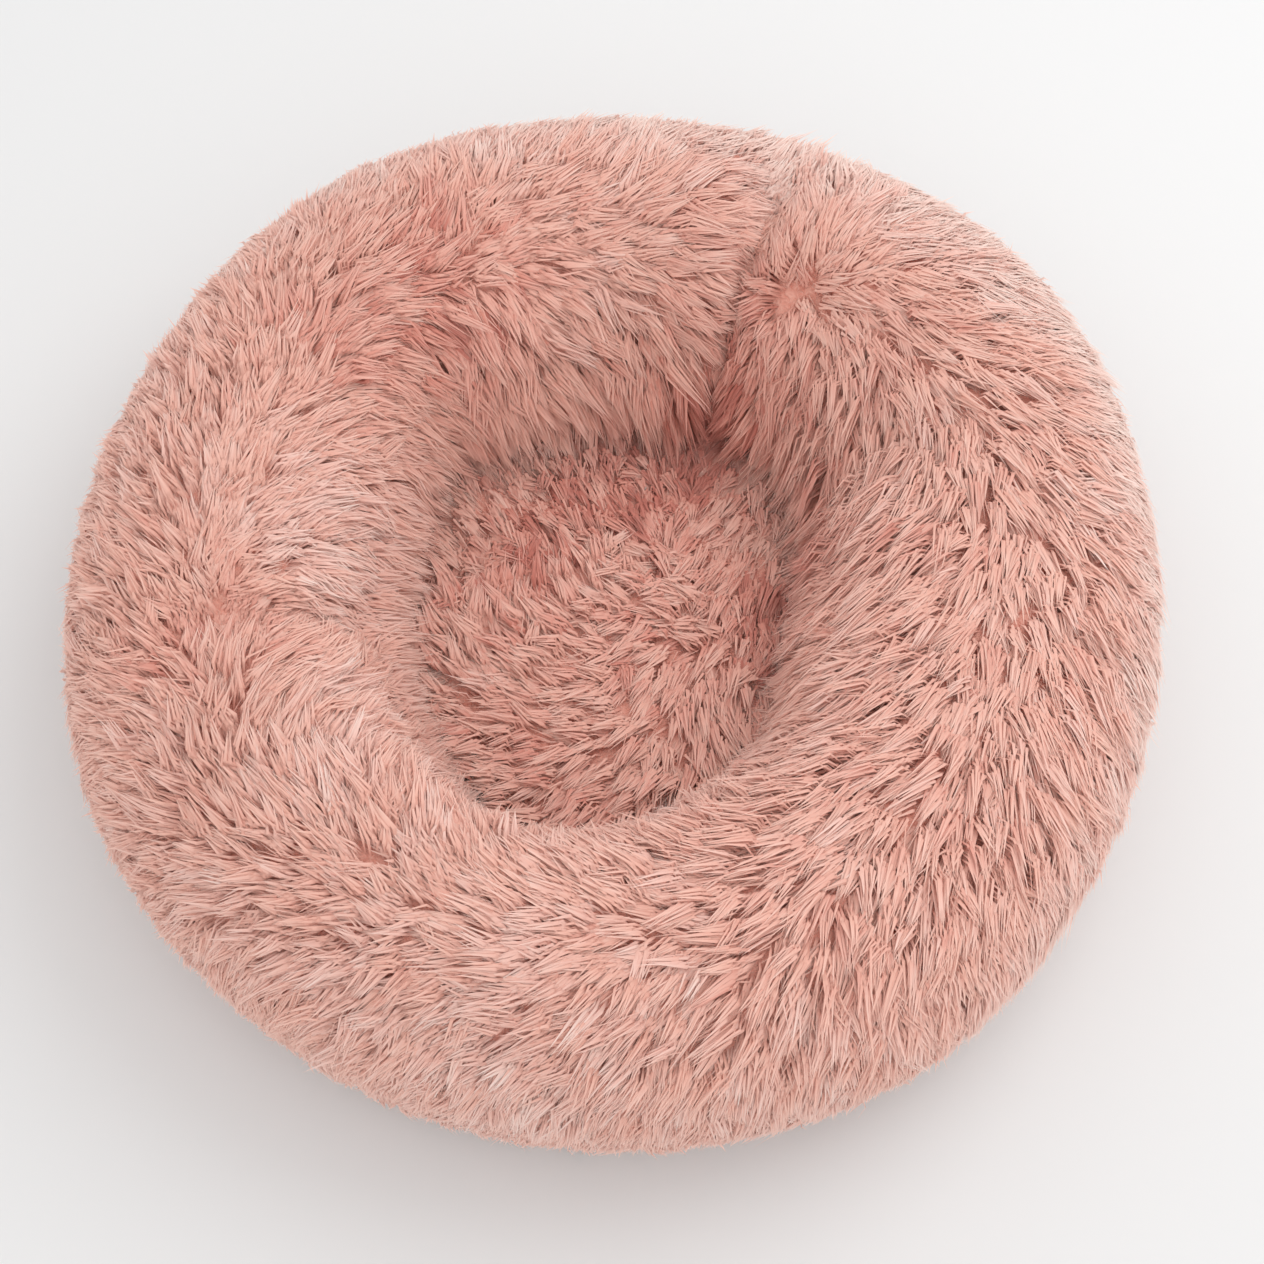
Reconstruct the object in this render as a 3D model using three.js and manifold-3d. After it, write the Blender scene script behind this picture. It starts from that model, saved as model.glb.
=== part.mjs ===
// Round plush pet bed: a stuffed rim in a long-pile sleeve round a soft pad, on a dotted base cloth,
// with a washable cover that opens along a coil zip at the back. Millimetres, +Z up, origin at the
// centre of the underside, -Y is the front.
import * as THREE from 'three'
import { mergeVertices } from 'three/addons/utils/BufferGeometryUtils.js'
import Module from 'manifold-3d'

const wasm = await Module()
wasm.setup()

// Rim, measured over the laid pile
const bedRadius = 291
const hollowRadius = 123
const rimHeight = 184
const rimWaistHeight = 88
const pileDepth = 16

// Pad, measured over the laid pile at its edge and at its middle
const padEdgeHeight = 55
const padCrownRise = 14
const padPileDepth = 13
const padShoulder = 5
const padCreep = 12

// Inner bags and the room between two pieces that touch
const bagThickness = 1
const gap = 0.3

// Base cloth, its moulded dots, and the binding round its edge
const baseReach = 4
const clothThickness = 1.2
const dotRadius = 4
const dotHeight = 1.2
const dotPitch = 60
const dotMargin = 20
const bindingThickness = 0.7
const bindingReach = 4

// Side band between the base cloth and the sleeve
const bandSeam = 1
const bandThickness = 1
const flangeSetback = 0.6

// Zip in the side band
const tapeThickness = 0.6
const tapeWidth = 6
const tapeMargin = 0.75
const coilHeight = 2.6
const coilDepth = 2.2
const coilPitch = 3
const coilGroove = 0.45
const coilSlot = 1.1
const coilOverhang = 0.9
const stopLength = 1.8
const stopWrap = 0.35
const windowMargin = 1
const tapeTail = 12

// Slider and its pull
const sliderLength = 11
const sliderHeight = 8.8
const sliderPlate = 1.2
const sliderFlange = 0.9
const sliderWeb = 0.5
const sliderWebLength = 3
const sliderTaper = 2.2
const eyeRadius = 1.2
const bridgeWall = 1.1
const bridgeWidth = 2
const pullBarRadius = 0.7
const pullLength = 20
const pullWidth = 6
const pullThickness = 1.2
const pullArm = 1.1
const pullSlotLength = 7
const pullSlotWidth = 1.8

// Stuffing slots in the inner bags
const slotLength = 60
const slotWidth = 6

// Boolean tools run past the faces that they cut by this much
const overrun = 2

// Turns and azimuths, in degrees
const circle = 360
const halfCircle = circle / 2
const sides = 48
const innerHemTurn = 200
const padMeetTurn = 193
const outerTurns = 12
const liningTurns = 8
const undersideTurns = [222, 245, 295]
const padSideTurn = 222
const zipStart = 50
const zipEnd = 130

// Fullness of the rim's section: 2 is a round tube, more is flatter under its own weight
const upperFullness = 2
const lowerFullness = 3

// How much further the section would hang without the floor, which presses it flat
const sagShare = 1.08

// Lobes of the stuffing and corners of the hollow: reach is in millimetres, azimuth and spread in degrees
const outerLobes = [
  { azimuth: 38, reach: 13, rise: 4, spread: 24 },
  { azimuth: 124, reach: 7, rise: 2, spread: 20 },
  { azimuth: 207, reach: 6, rise: 1, spread: 24 },
  { azimuth: 303, reach: 6, rise: 3, spread: 20 },
]
const hollowLobes = [
  { azimuth: 138, reach: 22, spread: 20 },
  { azimuth: 50, reach: 19, spread: 18 },
  { azimuth: 92, reach: 9, spread: 18 },
  { azimuth: 250, reach: 29, spread: 38 },
  { azimuth: 183, reach: 7, spread: 24 },
  { azimuth: 345, reach: -17, spread: 24 },
]

// Creases in the stuffed rim: each draws a share of the section in, over a stretch of turns
const creases = [
  { azimuth: 67.5, depthShare: 0.2, spread: 6, fromTurn: 50, toTurn: 242 },
  { azimuth: 195, depthShare: 0.11, spread: 6, fromTurn: 60, toTurn: 175 },
  { azimuth: 22.5, depthShare: 0.09, spread: 6, fromTurn: 100, toTurn: 190 },
  { azimuth: 247.5, depthShare: 0.06, spread: 9, fromTurn: 20, toTurn: 120 },
]
const creaseFade = 25

// Whorls and partings, where the pile lies away on all sides and its face dips: length and width are
// how far the dip runs along the rim and over it, in degrees
const partings = [
  { azimuth: 113, turn: 113, depth: 7, length: 12, width: 22 },
  { azimuth: 50, turn: 112, depth: 7, length: 11, width: 22 },
  { azimuth: 274, turn: 80, depth: 6, length: 12, width: 20 },
  { azimuth: 186, turn: 92, depth: 5, length: 26, width: 16 },
  { azimuth: 350, turn: 90, depth: 4, length: 28, width: 16 },
  { azimuth: 83, turn: 119, depth: 4, length: 13, width: 14 },
]

// Stations across the pad, as shares of its radius
const padTopShares = [0.42, 0.72, 0.92]
const padUnderShares = [0.5, 0.95]

const furPink = 0xd8a397
const bagWhite = 0xe9e6e0
const fibreWhite = 0xf4f2ee
const clothRose = 0xb98f88
const tapeRose = 0xc79a92
const coilRose = 0xbf8e85
const nickel = 0xb9b9bb

const rimCentreRadius = (bedRadius + hollowRadius) / 2
const clothTop = dotHeight + clothThickness
const bagSole = clothTop + gap
const flangeTop = clothTop + gap + bandThickness
const bindingRoof = flangeTop + gap + bindingThickness
const lining = pileDepth + gap
const filling = lining + bagThickness + gap

// The zip lies midway between the binding and the sleeve's outer hem, which clears its upper tape
const tapeReach = coilSlot / 2 + coilOverhang + tapeWidth
const zipHeight = bindingRoof + tapeMargin + tapeReach
const hemUnderside = zipHeight + tapeReach + tapeMargin
const hemDropShare = (rimWaistHeight - hemUnderside) / (rimWaistHeight - clothTop) / sagShare
const outerHemTurn = -Math.asin(hemDropShare ** (lowerFullness / 2)) * halfCircle / Math.PI

function radians(degrees) {
  return degrees * Math.PI / halfCircle
}

function point(radius, azimuth, height) {
  return [radius * Math.cos(radians(azimuth)), radius * Math.sin(radians(azimuth)), height]
}

// How near an azimuth lies to a lobe or crease: 1 on it, falling to 0 over its spread
function nearness(azimuth, feature) {
  const away = Math.abs((azimuth - feature.azimuth + circle + halfCircle) % circle - halfCircle)
  return Math.exp(-((away / feature.spread) ** 2))
}

function lobeSum(azimuth, lobes, key) {
  return lobes.reduce((sum, lobe) => sum + lobe[key] * nearness(azimuth, lobe), 0)
}

function fade(distance, length) {
  return THREE.MathUtils.smoothstep(distance, 0, length)
}

function creaseShare(azimuth, turn) {
  let share = 0
  for (const crease of creases) {
    const along = fade(turn - crease.fromTurn, creaseFade) * fade(crease.toTurn - turn, creaseFade)
    share += crease.depthShare * nearness(azimuth, crease) * along
  }
  return share
}

function partingDip(azimuth, turn) {
  return partings.reduce((sum, parting) => {
    const along = nearness(azimuth, { azimuth: parting.azimuth, spread: parting.length })
    return sum + parting.depth * along * Math.exp(-(((turn - parting.turn) / parting.width) ** 2))
  }, 0)
}

// A point of the rim's section, as radius and height: turn 0 faces out, 90 up, 180 the hollow, 270 the
// floor. The inset is how far inside the laid pile a layer lies, and sole is its lowest height.
function rimSection(azimuth, turn, inset, sole) {
  const across = Math.cos(radians(turn))
  const up = Math.sin(radians(turn))
  const lift = turn > halfCircle ? 0 : fade(turn - outerHemTurn, -outerHemTurn)
  const outerReach = bedRadius - rimCentreRadius + lobeSum(azimuth, outerLobes, 'reach') * lift
  const innerReach = rimCentreRadius - hollowRadius - lobeSum(azimuth, hollowLobes, 'reach')
  const crestReach = rimHeight - rimWaistHeight + lobeSum(azimuth, outerLobes, 'rise')
  const fullness = up < 0 ? lowerFullness : upperFullness
  const width = (across < 0 ? innerReach : outerReach) - inset
  const height = up < 0 ? rimWaistHeight - sole : crestReach - inset
  const drawn = 1 - creaseShare(azimuth, turn)
  const side = Math.sign(across) * Math.abs(across) ** (2 / fullness)
  const level = up < 0 ? -Math.min(1, sagShare * (-up) ** (2 / fullness)) : up ** (2 / fullness)
  return { radius: rimCentreRadius + width * side * drawn, height: rimWaistHeight + height * level * drawn }
}

function spread(from, to, count) {
  return Array.from({ length: count }, (_, step) => from + (to - from) * step / (count - 1))
}

const azimuths = Array.from({ length: sides }, (_, side) => circle * side / sides)

// Joins loops of points, one for each station, into one closed body. The loops run anticlockwise about
// the direction of travel, and the last joins the first where the body is a ring, or each end is capped.
function loft(loops, isRing) {
  const count = loops[0].length
  const triangles = []
  const last = isRing ? loops.length : loops.length - 1
  for (let station = 0; station < last; station += 1) {
    const here = station * count
    const next = (station + 1) % loops.length * count
    for (let corner = 0; corner < count; corner += 1) {
      const after = (corner + 1) % count
      triangles.push(here + corner, next + corner, next + after, here + corner, next + after, here + after)
    }
  }
  if (!isRing) {
    const far = (loops.length - 1) * count
    for (let corner = 1; corner < count - 1; corner += 1) {
      triangles.push(0, corner, corner + 1, far, far + corner + 1, far + corner)
    }
  }
  return indexed(loops.flat(), triangles)
}

function indexed(points, triangles) {
  const geometry = new THREE.BufferGeometry()
  geometry.setAttribute('position', new THREE.Float32BufferAttribute(points.flat(), 3))
  geometry.setIndex(triangles)
  return geometry
}

// A cushion: rings of points from the middle of its underside, over its edge, to the middle of its top
function cushion(bottomHeight, rings, topHeight) {
  const points = [[0, 0, bottomHeight], ...rings.flat(), [0, 0, topHeight]]
  const top = points.length - 1
  const triangles = []
  for (let side = 0; side < sides; side += 1) {
    const after = (side + 1) % sides
    triangles.push(0, 1 + after, 1 + side)
    for (let ring = 0; ring < rings.length - 1; ring += 1) {
      const here = 1 + ring * sides
      const next = here + sides
      triangles.push(here + side, here + after, next + after, here + side, next + after, next + side)
    }
    const rim = 1 + (rings.length - 1) * sides
    triangles.push(rim + side, rim + after, top)
  }
  return indexed(points, triangles)
}

function solidOf(geometry) {
  const bare = geometry.clone()
  bare.deleteAttribute('normal')
  bare.deleteAttribute('uv')
  const merged = mergeVertices(bare)
  const vertProperties = new Float32Array(merged.attributes.position.array)
  const triVerts = new Uint32Array(merged.index.array)
  return new wasm.Manifold(new wasm.Mesh({ numProp: 3, vertProperties, triVerts }))
}

function geometryOf(solid) {
  const { vertProperties, triVerts } = solid.getMesh()
  const geometry = new THREE.BufferGeometry()
  geometry.setAttribute('position', new THREE.BufferAttribute(vertProperties, 3))
  geometry.setIndex(new THREE.BufferAttribute(triVerts, 1))
  return geometry
}

function lathe(profile) {
  const points = [...profile, profile[0]].map(([radius, height]) => new THREE.Vector2(radius, height))
  return new THREE.LatheGeometry(points, sides).rotateX(Math.PI / 2)
}

function block(length, width, height, x, y, z) {
  return new THREE.BoxGeometry(length, width, height).translate(x, y, z)
}

function drum(radius, height, facets, x, y, z) {
  return new THREE.CylinderGeometry(radius, radius, height, facets).rotateX(Math.PI / 2).translate(x, y, z)
}

const bed = new THREE.Group()

function add(name, geometry, color, roughness, metalness, parent = bed) {
  const mesh = new THREE.Mesh(geometry, new THREE.MeshStandardMaterial({ color, roughness, metalness }))
  mesh.name = name
  parent.add(mesh)
  return mesh
}

// Rim: a fur sleeve, open below, over a bag of fibre that lies on the base cloth
function ringPoints(azimuth, turns, inset, sole) {
  return turns.map((turn) => {
    const { radius, height } = rimSection(azimuth, turn, inset, sole)
    return point(radius, azimuth, height)
  })
}

const coveredTurns = spread(outerHemTurn, innerHemTurn, liningTurns)
const bagTurns = [...coveredTurns, ...undersideTurns]

function rimLayer(inset, sole) {
  return loft(azimuths.map((azimuth) => ringPoints(azimuth, bagTurns, inset, sole)), true)
}

// The pile's outer face, closed by its two hems through the middle of the section, less what it covers
function rimSleeve() {
  const over = spread(outerHemTurn, innerHemTurn, outerTurns)
  const pastWall = pileDepth + overrun
  const face = (azimuth) => over.flatMap((turn) => (
    ringPoints(azimuth, [turn], partingDip(azimuth, turn), bagSole)
  ))
  const pile = loft(azimuths.map((azimuth) => [
    ...face(azimuth),
    ...ringPoints(azimuth, [innerHemTurn], pastWall, clothTop),
    point(rimCentreRadius, azimuth, rimWaistHeight),
    ...ringPoints(azimuth, [outerHemTurn], pastWall, clothTop),
  ]), true)
  return geometryOf(solidOf(pile).subtract(solidOf(rimLayer(pileDepth, clothTop))))
}

function rimBag() {
  const outside = solidOf(rimLayer(lining, bagSole))
  const inside = solidOf(rimLayer(lining + bagThickness, bagSole + bagThickness))
  const slotHeight = bagThickness + 2 * overrun
  const slot = block(slotLength, slotWidth, slotHeight, 0, -rimCentreRadius, bagSole + bagThickness / 2)
  return geometryOf(outside.subtract(inside).subtract(solidOf(slot)))
}

add('rim_cover', rimSleeve(), furPink, 0.95, 0)
add('rim_bag', rimBag(), bagWhite, 0.9, 0)
add('rim_filling', rimLayer(filling, bagSole + bagThickness + gap), fibreWhite, 1, 0)

// Pad: a fur disc that meets the sleeve's inner hem, over a bag of fibre that creeps under the rim
function padRadius(azimuth) {
  return rimSection(azimuth, padMeetTurn, 0, bagSole).radius - gap
}

function padRing(share, height) {
  return azimuths.map((azimuth) => point(padRadius(azimuth) * share, azimuth, height))
}

function crownHeight(edgeHeight, rise, share) {
  return edgeHeight + rise * (1 - share ** 2)
}

const padUnderside = padEdgeHeight - padPileDepth

function padDisc() {
  const under = padUnderShares.map((share) => padRing(share, crownHeight(padUnderside, padCrownRise, share)))
  const over = [...padTopShares].reverse()
  return cushion(
    crownHeight(padUnderside, padCrownRise, 0),
    [
      ...under,
      padRing(1, padUnderside),
      padRing(1, padEdgeHeight - padShoulder),
      ...over.map((share) => padRing(share, crownHeight(padEdgeHeight, padCrownRise, share))),
    ],
    crownHeight(padEdgeHeight, padCrownRise, 0),
  )
}

// A layer of the pad's stuffing, inset on every side from the space between the cloth and the fur disc
function padLayer(inset) {
  const sole = bagSole + inset
  const roof = padUnderside - gap - inset
  const creep = (azimuth) => rimSection(azimuth, padSideTurn, lining, bagSole)
  const side = azimuths.map((azimuth) => {
    const { radius, height } = creep(azimuth)
    return point(radius - gap - inset, azimuth, height)
  })
  const foot = azimuths.map((azimuth) => point(creep(azimuth).radius - gap - inset - padCreep, azimuth, sole))
  const shoulders = [...padUnderShares].reverse()
  return cushion(
    sole,
    [foot, side, ...shoulders.map((share) => azimuths.map((azimuth) => {
      const radius = padRadius(azimuth) * share - inset
      return point(radius, azimuth, crownHeight(roof, padCrownRise, share))
    }))],
    crownHeight(roof, padCrownRise, 0),
  )
}

function padBag() {
  const outside = solidOf(padLayer(0))
  const inside = solidOf(padLayer(bagThickness))
  const slotHeight = bagThickness + 2 * overrun
  const slot = block(slotLength, slotWidth, slotHeight, 0, 0, bagSole + bagThickness / 2)
  return geometryOf(outside.subtract(inside).subtract(solidOf(slot)))
}

add('pad_cover', padDisc(), furPink, 0.95, 0)
add('pad_bag', padBag(), bagWhite, 0.9, 0)
add('pad_filling', padLayer(bagThickness + gap), fibreWhite, 1, 0)

// The side band is sewn to the backing at the sleeve's outer hem, and the base reaches past the band
const bandRadius = rimSection(0, outerHemTurn, pileDepth, clothTop).radius + bandSeam
const bandOuter = bandRadius + bandThickness
const baseRadius = bandRadius + baseReach

// Base cloth with moulded grip dots in rings, and the binding folded round its edge and the band's
function baseCloth() {
  let cloth = solidOf(new THREE.CylinderGeometry(baseRadius, baseRadius, clothThickness, sides)
    .rotateX(Math.PI / 2).translate(0, 0, dotHeight + clothThickness / 2))
  const dotDepth = dotHeight + clothThickness / 2
  const dotRows = Math.floor((baseRadius - dotMargin) / dotPitch)
  for (let row = 0; row <= dotRows; row += 1) {
    const dots = Math.max(1, 6 * row)
    for (let dot = 0; dot < dots; dot += 1) {
      const [x, y] = point(row * dotPitch, circle * dot / dots, 0)
      cloth = cloth.add(solidOf(drum(dotRadius, dotDepth, 6, x, y, dotDepth / 2)))
    }
  }
  return geometryOf(cloth)
}

function edgeBinding() {
  const mouth = baseRadius - bindingReach
  const inside = baseRadius + gap
  const outside = inside + bindingThickness
  const floorIn = dotHeight - gap
  const floorOut = floorIn - bindingThickness
  const roofMouth = bandOuter + gap
  return lathe([
    [mouth, floorOut], [outside, floorOut], [outside, bindingRoof], [roofMouth, bindingRoof],
    [roofMouth, flangeTop + gap], [inside, flangeTop + gap], [inside, floorIn], [mouth, floorIn],
  ])
}

add('base_cloth', baseCloth(), clothRose, 0.8, 0)
add('base_binding', edgeBinding(), tapeRose, 0.85, 0)

// Side band: a strip from the base's edge up to the sleeve's outer hem, with a flange under the binding
// and a window at the back for the zip
const windowHalf = sliderHeight / 2 + windowMargin

function arcDegrees(length, radius) {
  return length / radius * halfCircle / Math.PI
}

// Sweeps a section of radius and height pairs along a stretch of azimuth
function arcBar(section, from, to, steps) {
  return loft(spread(from, to, steps).map((azimuth) => (
    section.map(([radius, height]) => point(radius, azimuth, height))
  )), false)
}

function rectangle(innerRadius, outerRadius, low, high) {
  return [[innerRadius, low], [outerRadius, low], [outerRadius, high], [innerRadius, high]]
}

function sideBand() {
  const foot = bagSole
  const flangeOuter = baseRadius - flangeSetback
  const wall = solidOf(lathe([
    [bandRadius, foot], [flangeOuter, foot], [flangeOuter, flangeTop], [bandOuter, flangeTop],
    [bandOuter, hemUnderside - gap], [bandRadius, hemUnderside - gap],
  ]))
  const opening = rectangle(
    bandRadius - overrun, bandOuter + overrun, zipHeight - windowHalf, zipHeight + windowHalf,
  )
  return geometryOf(wall.subtract(solidOf(arcBar(opening, zipStart, zipEnd, sides))))
}

add('side_band', sideBand(), clothRose, 0.8, 0)

// Zip: two tapes on the band's outer face, a coil on each, and stops at the ends of the coils
const tapeInner = bandOuter + gap
const tapeOuter = tapeInner + tapeThickness
const coilInner = tapeOuter + gap
const coilOuter = coilInner + coilDepth
const coilStart = zipStart + arcDegrees(sliderLength / 2, coilInner)
const coilEnd = zipEnd - arcDegrees(sliderLength / 2, coilInner)
const tailTurn = arcDegrees(tapeTail, tapeInner)
const stopTurn = arcDegrees(stopLength, coilInner)
const gapTurn = arcDegrees(gap, coilInner)

// Side is -1 for the lower half of the zip and 1 for the upper
function halfSection(side, innerRadius, outerRadius, near, far) {
  const low = side < 0 ? zipHeight - far : zipHeight + near
  const high = side < 0 ? zipHeight - near : zipHeight + far
  return rectangle(innerRadius, outerRadius, low, high)
}

function zipTape(side) {
  const near = coilSlot / 2 + coilOverhang
  const section = halfSection(side, tapeInner, tapeOuter, near, near + tapeWidth)
  return arcBar(section, zipStart - tailTurn, zipEnd + tailTurn, sides)
}

function zipCoil(side) {
  const curls = Math.round(radians(coilEnd - coilStart) * coilInner / coilPitch)
  const near = coilSlot / 2
  const far = near + coilHeight
  const ridge = halfSection(side, coilInner, coilOuter, near, far)
  const groove = halfSection(side, coilInner, coilOuter - coilGroove, near + coilGroove, far - coilGroove)
  const loops = spread(coilStart, coilEnd, 2 * curls + 1).map((azimuth, step) => (
    (step % 2 ? groove : ridge).map(([radius, height]) => point(radius, azimuth, height))
  ))
  return loft(loops, false)
}

function topStop(side) {
  const near = coilSlot / 2
  const section = halfSection(side, coilInner, coilOuter + stopWrap, near, near + coilHeight + stopWrap)
  return arcBar(section, coilStart - gapTurn - stopTurn, coilStart - gapTurn, 2)
}

function bottomStop() {
  const half = coilSlot / 2 + coilHeight + stopWrap
  const section = rectangle(coilInner, coilOuter + stopWrap, zipHeight - half, zipHeight + half)
  return arcBar(section, coilEnd + gapTurn, coilEnd + gapTurn + stopTurn, 2)
}

add('zip_tape_lower', zipTape(-1), tapeRose, 0.85, 0)
add('zip_tape_upper', zipTape(1), tapeRose, 0.85, 0)
add('zip_coil_lower', zipCoil(-1), coilRose, 0.45, 0)
add('zip_coil_upper', zipCoil(1), coilRose, 0.45, 0)
add('zip_top_stop_lower', topStop(-1), nickel, 0.3, 1)
add('zip_top_stop_upper', topStop(1), nickel, 0.3, 1)
add('zip_bottom_stop', bottomStop(), nickel, 0.3, 1)

// Slider, at the closed end of the zip: local +X faces out of the bed, +Y runs along the zip and the
// origin is on the bed's centre line. Two plates grip the coils, joined by a web that runs in the slot.
const backInner = tapeInner - gap - sliderPlate
const frontInner = coilOuter + gap
const frontOuter = frontInner + sliderPlate
const pullAxis = frontOuter + gap + pullBarRadius

// A plate seen from outside: square at the end that leads, drawn in where the coils meet
function plateOutline() {
  const long = sliderLength / 2
  const high = sliderHeight / 2
  const shape = new THREE.Shape()
  shape.moveTo(-long, -high)
  shape.lineTo(long - sliderTaper, -high)
  shape.lineTo(long, -high + sliderTaper)
  shape.lineTo(long, high - sliderTaper)
  shape.lineTo(long - sliderTaper, high)
  shape.lineTo(-long, high)
  shape.closePath()
  return shape
}

// The outline is drawn with Y along the zip and Z up, and extruded outwards along X
function plate(innerRadius, thickness) {
  const geometry = new THREE.ExtrudeGeometry(plateOutline(), { depth: thickness, bevelEnabled: false })
  return geometry.rotateX(Math.PI / 2).rotateZ(Math.PI / 2).translate(innerRadius, 0, 0)
}

function sliderBody() {
  let body = solidOf(plate(backInner, sliderPlate)).add(solidOf(plate(frontInner, sliderPlate)))
  const flangeInner = tapeOuter + gap
  const flangeDepth = frontInner - flangeInner + sliderPlate / 2
  const flangeLength = sliderLength - 2 * sliderTaper
  const middle = flangeInner + flangeDepth / 2
  for (const side of [-1, 1]) {
    const height = side * (sliderHeight - sliderFlange) / 2
    body = body.add(solidOf(block(flangeDepth, flangeLength, sliderFlange, middle, 0, height)))
  }
  const webInner = backInner + sliderPlate / 2
  const webDepth = frontInner + sliderPlate / 2 - webInner
  const webPlace = (sliderWebLength - sliderLength) / 2
  const webMiddle = webInner + webDepth / 2
  body = body.add(solidOf(block(webDepth, sliderWebLength, sliderWeb, webMiddle, webPlace, 0)))
  const arch = solidOf(drum(eyeRadius + bridgeWall, bridgeWidth, 16, pullAxis, 0, 0))
  const archLegs = solidOf(block(
    pullAxis - frontInner - sliderPlate / 2, 2 * (eyeRadius + bridgeWall), bridgeWidth,
    (pullAxis + frontInner + sliderPlate / 2) / 2, 0, 0,
  ))
  const eye = solidOf(drum(eyeRadius, bridgeWidth + overrun, 12, pullAxis, 0, 0))
  const eyeFoot = solidOf(block(
    pullAxis - frontOuter, 2 * eyeRadius, bridgeWidth + overrun, (pullAxis + frontOuter) / 2, 0, 0,
  ))
  const under = solidOf(block(
    frontOuter - backInner, sliderLength, sliderHeight, (frontOuter + backInner) / 2, 0, 0,
  ))
  const bridge = arch.add(archLegs).subtract(eye).subtract(eyeFoot).subtract(under)
  return geometryOf(body.add(bridge))
}

// Pull: a tab with a fork whose bar passes through the slider's bridge
function zipPull() {
  const forkEnd = eyeRadius + bridgeWall + gap
  const tabLength = pullLength - forkEnd - pullWidth / 2
  const forkWidth = bridgeWidth + 2 * gap + 2 * pullArm
  const barLength = forkWidth
  let pull = solidOf(drum(pullBarRadius, barLength, 10, pullAxis, 0, 0))
  for (const side of [-1, 1]) {
    const height = side * (forkWidth - pullArm) / 2
    const arm = block(pullThickness, forkEnd + pullArm, pullArm, pullAxis, (forkEnd + pullArm) / 2, height)
    pull = pull.add(solidOf(arm))
  }
  const tab = block(pullThickness, tabLength, pullWidth, pullAxis, forkEnd + tabLength / 2, 0)
  const tip = new THREE.CylinderGeometry(pullWidth / 2, pullWidth / 2, pullThickness, 20)
    .rotateZ(Math.PI / 2).translate(pullAxis, forkEnd + tabLength, 0)
  const slotMiddle = forkEnd + tabLength - pullSlotLength / 2
  const hole = block(pullThickness + overrun, pullSlotLength, pullSlotWidth, pullAxis, slotMiddle, 0)
  return geometryOf(pull.add(solidOf(tab)).add(solidOf(tip)).subtract(solidOf(hole)))
}

const sliderPlace = new THREE.Group()
sliderPlace.position.z = zipHeight
sliderPlace.rotation.z = radians(coilStart + arcDegrees(sliderLength / 2 + gap, coilInner))
bed.add(sliderPlace)
add('zip_slider', sliderBody(), nickel, 0.3, 1, sliderPlace)
add('zip_pull', zipPull(), nickel, 0.3, 1, sliderPlace)

export default bed
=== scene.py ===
import math

import bpy
import numpy as np
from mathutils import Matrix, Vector


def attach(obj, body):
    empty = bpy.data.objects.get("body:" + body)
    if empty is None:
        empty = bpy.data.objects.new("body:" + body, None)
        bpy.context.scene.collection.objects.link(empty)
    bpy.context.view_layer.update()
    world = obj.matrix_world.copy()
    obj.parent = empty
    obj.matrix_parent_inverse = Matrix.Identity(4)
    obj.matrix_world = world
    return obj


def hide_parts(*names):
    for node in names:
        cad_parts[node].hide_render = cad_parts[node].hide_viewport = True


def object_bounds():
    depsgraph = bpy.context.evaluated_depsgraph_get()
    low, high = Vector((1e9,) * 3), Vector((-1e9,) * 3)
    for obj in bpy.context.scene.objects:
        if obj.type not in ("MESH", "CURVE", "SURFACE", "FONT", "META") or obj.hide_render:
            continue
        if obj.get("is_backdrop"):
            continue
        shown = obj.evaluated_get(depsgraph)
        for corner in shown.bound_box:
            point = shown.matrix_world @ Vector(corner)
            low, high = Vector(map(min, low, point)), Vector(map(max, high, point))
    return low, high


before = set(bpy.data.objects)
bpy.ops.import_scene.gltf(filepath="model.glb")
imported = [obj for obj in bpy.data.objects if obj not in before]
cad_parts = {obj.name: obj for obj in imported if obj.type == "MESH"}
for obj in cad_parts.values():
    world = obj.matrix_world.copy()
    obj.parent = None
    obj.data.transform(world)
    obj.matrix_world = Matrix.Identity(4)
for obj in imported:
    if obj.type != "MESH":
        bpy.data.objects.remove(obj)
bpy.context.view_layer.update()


# Stuffing of the rim
# A ring of loose polyester fibre, about as thick as it is high. It lies flat on the base cloth, has
# settled into a few lobes, and is drawn in where four creases cross it.
bed_radius = 0.291
hollow_radius = 0.123
rim_height = 0.184
rim_waist_height = 0.088
rim_centre_radius = (bed_radius + hollow_radius) / 2
upper_fullness = 2
lower_fullness = 3
sag_share = 1.08
outer_hem_turn = -38
inner_hem_turn = 200
crease_fade = 25
outer_lobes = [
    {"azimuth": 38, "reach": 0.013, "rise": 0.004, "spread": 24},
    {"azimuth": 124, "reach": 0.007, "rise": 0.002, "spread": 20},
    {"azimuth": 207, "reach": 0.006, "rise": 0.001, "spread": 24},
    {"azimuth": 303, "reach": 0.006, "rise": 0.003, "spread": 20},
]
hollow_lobes = [
    {"azimuth": 138, "reach": 0.022, "spread": 20},
    {"azimuth": 50, "reach": 0.019, "spread": 18},
    {"azimuth": 92, "reach": 0.009, "spread": 18},
    {"azimuth": 250, "reach": 0.029, "spread": 38},
    {"azimuth": 183, "reach": 0.007, "spread": 24},
    {"azimuth": 345, "reach": -0.017, "spread": 24},
]
creases = [
    {"azimuth": 67.5, "depth": 0.2, "spread": 6, "from_turn": 50, "to_turn": 242},
    {"azimuth": 195, "depth": 0.11, "spread": 6, "from_turn": 60, "to_turn": 175},
    {"azimuth": 22.5, "depth": 0.09, "spread": 6, "from_turn": 100, "to_turn": 190},
    {"azimuth": 247.5, "depth": 0.06, "spread": 9, "from_turn": 20, "to_turn": 120},
]
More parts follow.
